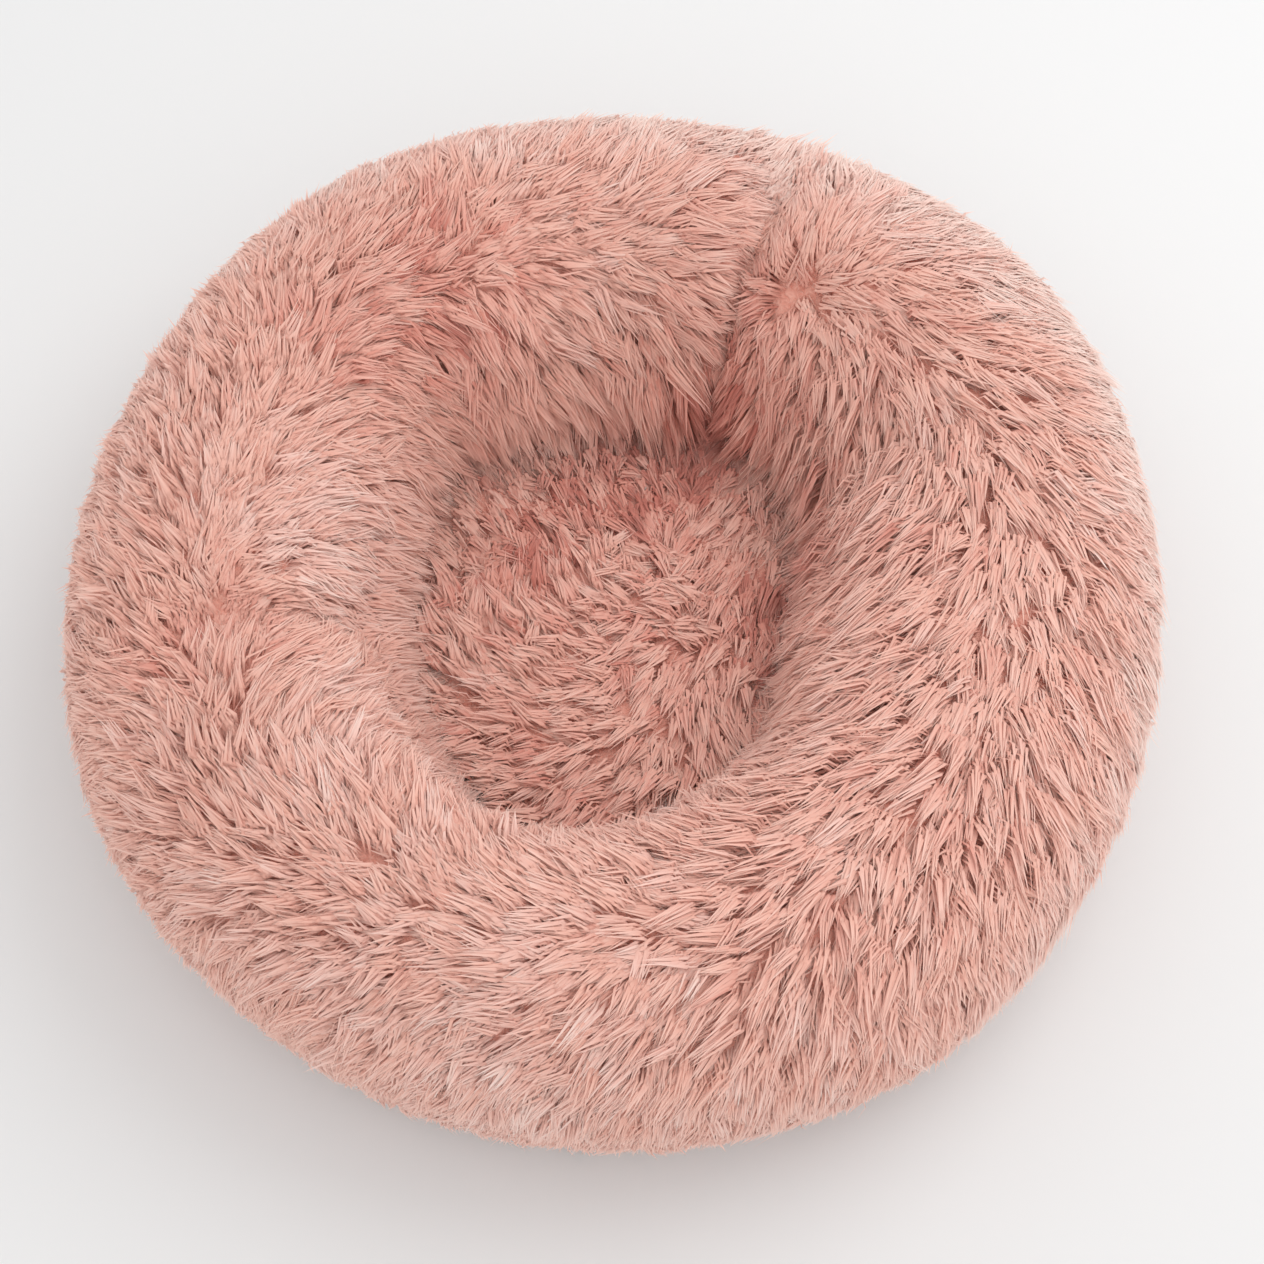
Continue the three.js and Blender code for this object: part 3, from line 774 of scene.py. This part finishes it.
def clear_hem(spine):
    """Strands at the outer hem hang clear of the zip's slider, and are trimmed short over the zip."""
    radius = np.hypot(spine[..., 0], spine[..., 1])
    outer = radius[:, 0] > hem_reach
    spine[outer, 0, 2] = np.maximum(spine[outer, 0, 2], hem_root_height)
    spine[outer, 1, 2] = np.maximum(spine[outer, 1, 2], hem_bend_height)
    low = outer[:, None] & (spine[..., 2] < hem_height)
    push = np.where(low, np.maximum(hem_clear_radius / radius, 1), 1)
    push[:, 0] = 1
    spine[..., :2] *= push[..., None]
    azimuth = np.degrees(np.arctan2(spine[:, 0, 1], spine[:, 0, 0]))
    beside = np.abs(azimuth_from(azimuth, zip_trim["azimuth"])) - zip_trim["half_span"]
    trimmed = (1 - fade(beside, zip_trim["fade"])) * outer * (1 - zip_trim["left"])
    spine[..., 2] += trimmed[:, None] * np.maximum(zip_trim["height"] - spine[..., 2], 0)
    return spine


def lay_pile(name, points, normals, ways, sure, rises, runs, tints, tousled, over_pad=False):
    """Makes a piece of pile from its locks: where they stand, the way they lie, their size and tint, and
    from 0 to 1 how far they part from each other."""
    locks = len(points)
    sides = np.cross(normals, ways)
    turn = heading_jitter * random.normal(size=locks) + heading_sway * ripple(points, 0)
    turn = np.radians(turn + heading_ripple * ripple(points, 2))
    ways = ways * np.cos(turn)[:, None] + sides * np.sin(turn)[:, None]
    sides = np.cross(normals, ways)
    uneven = rise_jitter + tousled_rise_jitter * tousled
    rise = rises * (1 + uneven * random.normal(size=locks) + unsure_rise * (1 - sure))
    run = runs * (1 + run_jitter * random.normal(size=locks)) * (unsure_run + (1 - unsure_run) * sure)
    shade = middle_shade + shade_sway * ripple(points, 1) + shade_jitter * random.normal(size=locks)
    # The tints add painted shade and painted light from the patches and the far edges, besides changes of dye
    shade = np.maximum(shade, least_shade) + tints
    curl = lock_curl * random.normal(size=locks)
    each = np.repeat(np.arange(locks), strands_per_lock)
    count = len(each)
    stray = random.uniform(size=count) < stray_share
    spread = random.normal(size=(count, 2)) * lock_spacing * lock_spread
    offset = sides[each] * spread[:, :1] + ways[each] * spread[:, 1:]
    gather = random.normal(silky_gather + tousled_gather * tousled[each], gather_jitter)
    gather = np.where(stray, 0, np.clip(gather, 0, most_gather))
    strand_rise = rise[each] * (1 + strand_rise_jitter * random.normal(size=count))
    strand_rise = strand_rise * np.where(stray, stray_rise, 1)
    strand_run = run[each] * (1 + strand_run_jitter * random.normal(size=count))
    curls = curl[each] + np.where(stray, stray_curl, strand_curl) * random.normal(size=count)
    astray = np.where(stray, stray_drift, strand_drift) * random.normal(size=count)
    pull = -offset * gather[:, None] + sides[each] * astray[:, None]
    spine = (
        (points[each] + offset)[:, None]
        + normals[each][:, None] * (strand_rise[:, None] * rise_steps)[..., None]
        + ways[each][:, None] * (strand_run[:, None] * run_steps)[..., None]
        + pull[:, None] * pull_steps[None, :, None]
        + sides[each][:, None] * (curls[:, None] * bend_steps)[..., None]
    )
    spine[..., 2] = np.maximum(spine[..., 2] - sag_steps, lowest_tip)
    spine = clear_hem(spine)
    if over_pad:
        spine = spill(spine)
    shades = np.clip(shade[each] + strand_shade_jitter * random.normal(size=count), 0, 1)
    widths = (1 + strand_width_jitter * random.normal(size=count)).clip(narrowest_strand, widest_strand)
    widths = strand_width * widths * np.where(stray, stray_width, 1)
    return strand_mesh(name, spine, normals[each], widths, shades, pile)


def rim_axes(azimuth, turn):
    """The sleeve's clockwise, outward and upright directions at a place, from two short steps along it."""
    step = 0.5
    round_it = rim_point(azimuth + step, turn, pile_depth) - rim_point(azimuth - step, turn, pile_depth)
    over_it = rim_point(azimuth, turn + step, pile_depth) - rim_point(azimuth, turn - step, pile_depth)
    return -unit(round_it), -unit(over_it), unit(np.cross(round_it, over_it))


def rim_lie(points, azimuth, turn):
    """The way the tips lie over the rim, the normals, and from 0 to 1 how surely the tips lie that way."""
    clockwise, outwards, normals = rim_axes(azimuth, turn)
    stations = np.arange(len(ridge_turns) + 1) * 360 / len(ridge_turns)
    ridge = np.interp(azimuth, stations, np.append(ridge_turns, ridge_turns[0]))
    swing = np.radians(swing_limit * np.tanh((ridge - turn) / swing_reach))
    way = clockwise * np.cos(swing)[:, None] + outwards * np.sin(swing)[:, None]
    for crease in creases:
        beside = {"azimuth": crease["azimuth"], "spread": crease["spread"] * crease_pull_reach}
        near = nearness(azimuth, beside) * along_crease(crease, turn)
        side = np.clip(azimuth_from(azimuth, crease["azimuth"]) / crease["spread"], -1, 1)
        way += clockwise * (crease_pull * crease["depth"] * near * side)[:, None]
    sure = np.ones(len(points))
    for whorl in whorls:
        middle = rim_point(whorl["azimuth"], whorl["turn"], pile_depth)
        near = closeness(points, middle, whorl["reach"])
        away = (points - middle) / whorl["reach"]
        turned = away * whorl["pull"] + np.cross(away, normals) * whorl["twist"]
        way += turned * whorl_strength * near[:, None]
        sure -= whorl_doubt * near
    way -= (way * normals).sum(-1, keepdims=True) * normals
    sure = np.clip(sure * np.linalg.norm(way, axis=-1), least_sure, 1)
    lift = hem_lift + lobe_sum(azimuth, hem_lifts, "lift")
    away = unit(points * np.array([1, 1, 0]))
    way = unit(way) - away * (lift * fade(turn - hem_lift_turn, hem_lift_fade))[:, None]
    return unit(way), normals, sure


def edge_turn(azimuth):
    """The turn at which the rim goes out of sight for someone who stands over the front edge."""
    return edge_turn_middle + edge_turn_swing * np.sin(np.radians(azimuth))


# Painted light and shade: the far edges are painted paler, and the patches add painted shade, painted light
# and changes of dye
def rim_tint(points, azimuth, turn):
    inside = fade(turn - edge_turn(azimuth) - pale_edge["turn"], pale_edge["fade"])
    beyond = fade(edge_turn(azimuth) - pale_edge["width"] - turn, pale_edge["fade"])
    tint = pale_edge["tint"] * nearness(azimuth, pale_edge) * (1 - inside) * (1 - pale_edge["lost"] * beyond)
    for patch_azimuth, patch_turn, reach, change in rim_patches:
        tint += change * closeness(points, rim_point(patch_azimuth, patch_turn, 0), reach)
    return tint


def rim_tousle(points):
    """How far the pile parts in locks: little over the far crest, most at the sides and the front."""
    rough = np.zeros(len(points))
    for azimuth, turn, reach in tousled_patches:
        rough += closeness(points, rim_point(azimuth, turn, 0), reach)
    return np.clip(least_tousle + rough, 0, most_tousle)


# Locks stand in rows over the sleeve, a lock's spacing apart along and across
hem_margin_turns = 2
section_steps = 800
first_turn = outer_hem_turn + hem_margin_turns
last_turn = inner_hem_turn - hem_margin_turns
section_turns = np.linspace(first_turn, last_turn, section_steps)
section = rim_point(0, section_turns, pile_depth)
travel = np.concatenate([[0], np.cumsum(np.linalg.norm(np.diff(section, axis=0), axis=-1))])
row_count = int(travel[-1] / lock_spacing)
row_turns = np.interp(np.arange(row_count + 1) * travel[-1] / row_count, travel, section_turns)
row_step = (last_turn - first_turn) / row_count
unevenness = 0.35
lock_azimuths = []
lock_turns = []
for turn in row_turns:
    middle = rim_point(0, turn, pile_depth)
    count = int(2 * math.pi * math.hypot(middle[0], middle[1]) / lock_spacing)
    spots = np.arange(count) + random.uniform(0, 1) + unevenness * random.normal(size=count)
    lock_azimuths.append(spots * 360 / count % 360)
    lock_turns.append(turn + row_step * unevenness * random.normal(size=count))
lock_azimuths = np.concatenate(lock_azimuths)
lock_turns = np.clip(np.concatenate(lock_turns), outer_hem_turn, inner_hem_turn)
hem_trim = 0.55
hem_trim_fade = 26
crease_trim = 3
most_crease_trim = 0.55
rim_sectors = 10
sector_width = 360 / rim_sectors
for sector in range(rim_sectors):
    here = (lock_azimuths // sector_width).astype(int) == sector
    azimuths = lock_azimuths[here]
    turns = lock_turns[here]
    roots = rim_point(azimuths, turns, pile_depth)
    ways, normals, sure = rim_lie(roots, azimuths, turns)
    trims = hem_trim + (1 - hem_trim) * fade(turns - outer_hem_turn, hem_trim_fade)
    trims = trims * (1 - np.minimum(most_crease_trim, crease_trim * crease_share(azimuths, turns)))
    rises = pile_rise * trims - parting_dip(azimuths, turns)
    calm_turns = edge_turn(azimuths) + pale_calm * nearness(azimuths, pale_edge)
    parted = fade(turns - calm_turns, tousle_fade) * rim_tousle(roots)
    tousled = outer_tousle + (1 - outer_tousle) * parted
    tints = rim_tint(roots, azimuths, turns)
    name = "rim_pile_%02d" % (sector + 1)
    lay_pile(name, roots, normals, ways, sure, rises, pile_run * trims, tints, tousled, over_pad=True)


# The pad's pile lies in a loose swirl about a whorl right of its middle
sure_pull = 0.8
least_pad_sure = 0.35
first_ring = 0.35
last_ring_margin = 0.5
# Painted shade: the whole pad is tinted deeper, for the shade of the hollow
pad_painted_shade = -0.12
pad_trim = 0.8
pad_tousle = 1.2


def pad_lie(points):
    blurred = points[:, :2] + stroke_blur * random.normal(size=(len(points), 2))
    places = np.array([(x, y) for x, y, heading in pad_strokes])
    angles = np.radians([heading for x, y, heading in pad_strokes])
    away = np.linalg.norm(blurred[:, None] - places[None], axis=-1)
    pull = np.exp(-((away / pad_stroke_reach) ** 2))
    flat = pull @ np.stack([np.cos(angles), np.sin(angles)], -1)
    sure = np.clip(np.linalg.norm(flat, axis=-1) / sure_pull, least_pad_sure, 1)
    return unit(np.column_stack([flat, np.zeros(len(points))])), sure


pad_rings = int(hollow_radius / lock_spacing)
pad_lock_azimuths = []
pad_lock_shares = []
for ring in range(pad_rings + 1):
    share = (ring + first_ring) / (pad_rings + last_ring_margin)
    count = max(3, int(2 * math.pi * share * hollow_radius / lock_spacing))
    pad_lock_azimuths.append((np.arange(count) + unevenness * random.normal(size=count)) * 360 / count)
    pad_lock_shares.append(share + unevenness * random.normal(size=count) / pad_rings)
pad_lock_azimuths = np.concatenate(pad_lock_azimuths)
pad_lock_shares = np.clip(np.concatenate(pad_lock_shares), 0, 1)
pad_roots = pad_point(pad_lock_azimuths, pad_lock_shares, pad_pile_depth)
pad_normals = np.tile([0.0, 0.0, 1.0], (len(pad_roots), 1))
pad_ways, pad_sure = pad_lie(pad_roots)
# Painted shade of the hollow and of the patches, added to the pad's locks
pad_tints = np.full(len(pad_roots), pad_painted_shade)
for x, y, reach, change in pad_painted_shade_patches:
    pad_tints += change * closeness(pad_roots[:, :2], np.array([x, y]), reach)
pad_rises = pile_rise * pad_trim - pad_dip(pad_roots)
pad_runs = np.full(len(pad_roots), pile_run * pad_trim)
pad_tousles = np.full(len(pad_roots), pad_tousle)
lay_pile("pad_pile", pad_roots, pad_normals, pad_ways, pad_sure, pad_rises, pad_runs, pad_tints, pad_tousles)


# Base cloth
# A round of woven polyester under the whole bed, with soft vinyl dots moulded on it so that it doesn't
# slide. It lies flat, and its edge is bound together with the side band's.
base_radius = 0.27
base_thickness = 0.0007
base_corners = 192
inset_rings = 8
inset_width = 0.03
dot_height = 0.0012
dot_pitch = 0.010
dot_radius = 0.0016
dot_corners = 8
dot_bevel = 0.0006
dot_margin = 0.012
row_ratio = 0.87
extra_rows = 4


def deselect():
    for item in bpy.context.selected_objects:
        item.select_set(False)


def select_faces(piece, is_chosen):
    """Opens a piece for editing with the faces selected whose upward share of the normal is chosen."""
    bpy.ops.object.mode_set(mode="EDIT")
    bpy.ops.mesh.select_mode(type="FACE")
    bpy.ops.mesh.select_all(action="DESELECT")
    bpy.ops.object.mode_set(mode="OBJECT")
    for face in piece.data.polygons:
        face.select = is_chosen(face.normal.z)
    bpy.ops.object.mode_set(mode="EDIT")


def weave_finish(name, dark, light, threads):
    """Plain weave: two crossing sets of threads, each with its own lift."""
    material, tree, shader, place = plain_finish(name, 0.8, sheen=0.15)
    lifts = []
    for direction in ("X", "Y"):
        wave = texture(tree, place, "ShaderNodeTexWave", Scale=threads)
        wave.bands_direction = direction
        lifts.append(wave.outputs["Fac"])
    cross = tree.nodes.new("ShaderNodeMath")
    cross.operation = "MULTIPLY"
    tree.links.new(lifts[0], cross.inputs[0])
    tree.links.new(lifts[1], cross.inputs[1])
    wear = texture(tree, place, "ShaderNodeTexNoise", Scale=14, Detail=4)
    mixed = tree.nodes.new("ShaderNodeMath")
    mixed.operation = "MULTIPLY_ADD"
    mixed.inputs[1].default_value = 0.6
    tree.links.new(cross.outputs[0], mixed.inputs[0])
    tree.links.new(wear.outputs["Fac"], mixed.inputs[2])
    paint(tree, shader, mixed.outputs[0], [(0.3, dark), (1, light)])
    add_bump(tree, shader, cross.outputs[0], 0.5, 0.0003)
    return material


base_weave = weave_finish("base_weave", (0.36, 0.20, 0.17), (0.56, 0.34, 0.30), 320)
deselect()
base_middle = (0, 0, dot_height + base_thickness / 2)
bpy.ops.mesh.primitive_cylinder_add(
    vertices=base_corners, radius=base_radius, depth=base_thickness, location=base_middle
)
base_underside = bpy.context.object
base_underside.name = "base_underside"
bpy.ops.object.transform_apply(location=True)
base_underside.data.materials.append(base_weave)
select_faces(base_underside, lambda upward: abs(upward) > 0.9)
for ring in range(inset_rings):
    bpy.ops.mesh.inset(thickness=inset_width)
bpy.ops.object.mode_set(mode="OBJECT")
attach(base_underside, "bed")
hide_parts("base_cloth")


def vinyl_finish():
    material, tree, shader, place = plain_finish("dot_vinyl", 0.45)
    specks = texture(tree, place, "ShaderNodeTexNoise", Scale=300)
    paint(tree, shader, specks.outputs["Fac"], [(0.3, (0.52, 0.30, 0.27)), (0.7, (0.62, 0.39, 0.35))])
    return material


# One dot is a low drum with its lower edge bevelled, and the rest are copies of it in one mesh
deselect()
bpy.ops.mesh.primitive_cylinder_add(
    vertices=dot_corners, radius=dot_radius, depth=dot_height, location=(0, 0, 0)
)
dot = bpy.context.object
select_faces(dot, lambda upward: upward < -0.9)
bpy.ops.mesh.bevel(offset=dot_bevel, segments=1)
bpy.ops.object.mode_set(mode="OBJECT")
dot_points = np.array([vertex.co for vertex in dot.data.vertices])
dot_faces = [tuple(face.vertices) for face in dot.data.polygons]
bpy.data.objects.remove(dot)
reach = int(base_radius / dot_pitch) + 1
places = [
    (dot_pitch * (column + 0.5 * (row % 2)), dot_pitch * row * row_ratio)
    for row in range(-reach - extra_rows, reach + extra_rows + 1) for column in range(-reach, reach + 1)
]
places = [(x, y, dot_height / 2) for x, y in places if math.hypot(x, y) < base_radius - dot_margin]
copied_faces = [
    tuple(corner + copy * len(dot_points) for corner in face)
    for copy in range(len(places)) for face in dot_faces
]
new_piece(
    "grip_dots",
    (np.array(places)[:, None] + dot_points[None]).reshape(-1, 3),
    copied_faces,
    vinyl_finish(),
)


# Side band
# A strip of the same woven cloth, sewn to the base cloth below and to the sleeve's hem above, with a
# window for the zip across the back quarter. Its seams pucker it a little.
band_radius = 0.2661
band_thickness = 0.0009
band_low = 0.0028
band_high = 0.0204
zip_height = 0.0129
window_half = 0.0053
zip_start = 50
zip_end = 130
puckers = [(0.0003, 120), (0.0002, 47)]
flange_thickness = 0.0008
flange_margin = 0.001
filler_inset = 0.0001
filler_overlap = 0.0004
band_stations = 480
band_azimuths = np.arange(band_stations) * 360 / band_stations
band_weave = weave_finish("band_weave", (0.38, 0.21, 0.18), (0.58, 0.36, 0.31), 320)


def ring_at(azimuth, pairs):
    """A section at an azimuth, from pairs of a radius and a height."""
    angle = math.radians(azimuth)
    section = [(radius * math.cos(angle), radius * math.sin(angle), height) for radius, height in pairs]
    return np.array(section)


def box_pairs(inner, outer, low, high):
    return [(inner, low), (outer, low), (outer, high), (inner, high)]


def strip_points(azimuths, pairs):
    return np.concatenate([ring_at(azimuth, pairs) for azimuth in azimuths])


def strip_faces(stations, first=0):
    """Quads over an open row of four-cornered sections, with its two ends closed."""
    faces = []
    for station in range(stations - 1):
        here = first + station * 4
        for corner in range(4):
            beyond = (corner + 1) % 4
            faces.append((here + corner, here + 4 + corner, here + 4 + beyond, here + beyond))
    far = first + (stations - 1) * 4
    faces += [(first + 3, first + 2, first + 1, first), (far, far + 1, far + 2, far + 3)]
    return faces


def band_strip(low, high, flange):
    """A ring of cloth between two heights, whose foot turns out in a flange where it has one."""
    def section_at(azimuth):
        angle = math.radians(azimuth)
        inner = band_radius + sum(depth * math.sin(angle * count) for depth, count in puckers)
        outer = inner + band_thickness
        if not flange:
            return ring_at(azimuth, box_pairs(inner, outer, low, high))
        edge = base_radius - flange_margin
        roof = low + flange_thickness
        return ring_at(azimuth, [
            (inner, low), (edge, low), (edge, roof), (outer, roof), (outer, high), (inner, high),
        ])
    return ring_points(band_stations, section_at)


window_low = zip_height - window_half
window_high = zip_height + window_half
lower_strip = band_strip(band_low, window_low, True)
upper_strip = band_strip(window_high, band_high, False)
past_zip = [azimuth for azimuth in band_azimuths if azimuth > zip_end]
before_zip = [azimuth for azimuth in band_azimuths if azimuth < zip_start]
filler_azimuths = past_zip + before_zip
filler_pairs = box_pairs(
    band_radius + filler_inset, band_radius + band_thickness - filler_inset,
    window_low - filler_overlap, window_high + filler_overlap,
)
filler_faces = strip_faces(len(filler_azimuths), len(lower_strip) + len(upper_strip))
side_band_cloth = new_piece(
    "side_band_cloth",
    np.concatenate([lower_strip, upper_strip, strip_points(filler_azimuths, filler_pairs)]),
    ring_faces(band_stations, 6) + ring_faces(band_stations, 4, len(lower_strip)) + filler_faces,
    band_weave,
)
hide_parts("side_band")


# Edge binding
# A folded tape that wraps the edges of the base cloth and of the side band.
tape_weave = weave_finish("tape_weave", (0.46, 0.27, 0.24), (0.66, 0.43, 0.38), 420)
binding_stations = 240
binding_outside = 0.2708
binding_floor = 0.0003
binding_roof = 0.0046
binding_wall = 0.0006
binding_mouth = 0.2662
binding_lip = 0.2675
fold = 0.0006
eased = fold * 0.3
binding_inside = binding_outside - binding_wall
binding_pairs = [
    (binding_mouth, binding_floor), (binding_outside - fold, binding_floor),
    (binding_outside - eased, binding_floor + eased), (binding_outside, binding_floor + fold),
    (binding_outside, binding_roof - fold), (binding_outside - eased, binding_roof - eased),
    (binding_outside - fold, binding_roof), (binding_lip, binding_roof),
    (binding_lip, binding_roof - binding_wall), (binding_inside, binding_roof - binding_wall),
    (binding_inside, binding_floor + binding_wall), (binding_mouth, binding_floor + binding_wall),
]
edge_tape = new_piece(
    "edge_tape",
    ring_points(binding_stations, lambda azimuth: ring_at(azimuth, binding_pairs)),
    ring_faces(binding_stations, len(binding_pairs)),
    tape_weave,
)
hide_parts("base_binding")


# Zip
# A nylon coil zip across the back of the band: two woven tapes with a coil on each, pressed metal stops
# at both ends, and a nickel-plated slider whose pull hangs from its bridge.
tape_inner = 0.2673
tape_thickness = 0.0006
tape_steps = 160
tail = 2.5
tape_azimuths = np.linspace(zip_start - tail, zip_end + tail, tape_steps)
for side, low, high in [("lower", 0.00545, 0.01145), ("upper", 0.01435, 0.02035)]:
    points = strip_points(tape_azimuths, box_pairs(tape_inner, tape_inner + tape_thickness, low, high))
    tape = new_piece("zip_cloth_" + side, points, strip_faces(tape_steps), tape_weave)
    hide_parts("zip_tape_" + side)


def coil_finish():
    """Dyed nylon monofilament, with faint flecks in its colour."""
    material, tree, shader, place = plain_finish("coil_nylon", 0.35)
    flecks = texture(tree, place, "ShaderNodeTexNoise", Scale=900)
    dyes = [(0.35, (0.48, 0.25, 0.21)), (0.65, (0.60, 0.34, 0.29))]
    paint(tree, shader, flecks.outputs["Fac"], dyes)
    return material


def nickel_finish():
    """Plated die casting: bright, with a fine grain in its colour and its gloss."""
    material, tree, shader, place = plain_finish("nickel_plate", 0.3)
    shader.inputs["Metallic"].default_value = 1
    grain = texture(tree, place, "ShaderNodeTexNoise", Scale=1500, Detail=5)
    paint(tree, shader, grain.outputs["Fac"], [(0.3, (0.50, 0.50, 0.50)), (0.7, (0.66, 0.65, 0.64))])
    roughness = tree.nodes.new("ShaderNodeMapRange")
    roughness.inputs["To Min"].default_value = 0.22
    roughness.inputs["To Max"].default_value = 0.42
    tree.links.new(grain.outputs["Fac"], roughness.inputs["Value"])
    tree.links.new(roughness.outputs["Result"], shader.inputs["Roughness"])
    add_bump(tree, shader, grain.outputs["Fac"], 0.15, 0.0001)
    return material


coil_nylon = coil_finish()
nickel_plate = nickel_finish()
for name, finish in [
    ("zip_coil_lower", coil_nylon), ("zip_coil_upper", coil_nylon), ("zip_top_stop_lower", nickel_plate),
    ("zip_top_stop_upper", nickel_plate), ("zip_bottom_stop", nickel_plate), ("zip_slider", nickel_plate),
    ("zip_pull", nickel_plate),
]:
    for material_slot in bpy.data.objects[name].material_slots:
        material_slot.material = finish


# Studio
# A white floor, a soft sky and two round lamps, and the camera above the front edge of the bed.
deselect()
bpy.ops.mesh.primitive_plane_add(size=8, location=(0, 0, 0))
floor = bpy.context.object
floor.name = "studio_floor"
floor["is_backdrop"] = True
floor_paint = bpy.data.materials.new("studio_floor")
floor_paint.use_nodes = True
floor_shader = floor_paint.node_tree.nodes["Principled BSDF"]
floor_shader.inputs["Base Color"].default_value = (0.84, 0.84, 0.84, 1)
floor_shader.inputs["Roughness"].default_value = 0.9
floor.data.materials.append(floor_paint)
sky = bpy.data.worlds.new("studio")
bpy.context.scene.world = sky
sky.use_nodes = True
light = sky.node_tree.nodes["Background"]
light.inputs["Color"].default_value = (1, 1, 1, 1)
light.inputs["Strength"].default_value = 0.88
lamp_aim = Vector((0, 0, 0.1))
for name, place, size, power in [("key", (0.8, 0.45, 1.5), 1.2, 7.2), ("fill", (0.3, -1.0, 1.4), 1.2, 1.4)]:
    lamp = bpy.data.lights.new(name, "AREA")
    lamp.shape = "DISK"
    lamp.size = size
    lamp.energy = power
    holder = bpy.data.objects.new(name, lamp)
    bpy.context.scene.collection.objects.link(holder)
    holder.location = place
    holder.rotation_mode = "QUATERNION"
    holder.rotation_quaternion = (lamp_aim - Vector(place)).to_track_quat("-Z", "Y")
bpy.context.scene.view_settings.view_transform = "Standard"

camera_elevation = math.radians(65.7)
camera_distance = 1.3
frame_width = 0.738
aim_right = 0.009
aim_up = 0.018
camera = bpy.data.cameras.new("camera")
camera.sensor_width = 36
camera.lens = camera.sensor_width * camera_distance / frame_width
camera_holder = bpy.data.objects.new("camera", camera)
bpy.context.scene.collection.objects.link(camera_holder)
forward = Vector((0, math.cos(camera_elevation), -math.sin(camera_elevation)))
upward = Vector((0, math.sin(camera_elevation), math.cos(camera_elevation)))
camera_holder.location = Vector((aim_right, 0, 0)) + upward * aim_up - forward * camera_distance
camera_holder.rotation_euler = (math.pi / 2 - camera_elevation, 0, 0)
bpy.context.scene.camera = camera_holder

low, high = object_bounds()
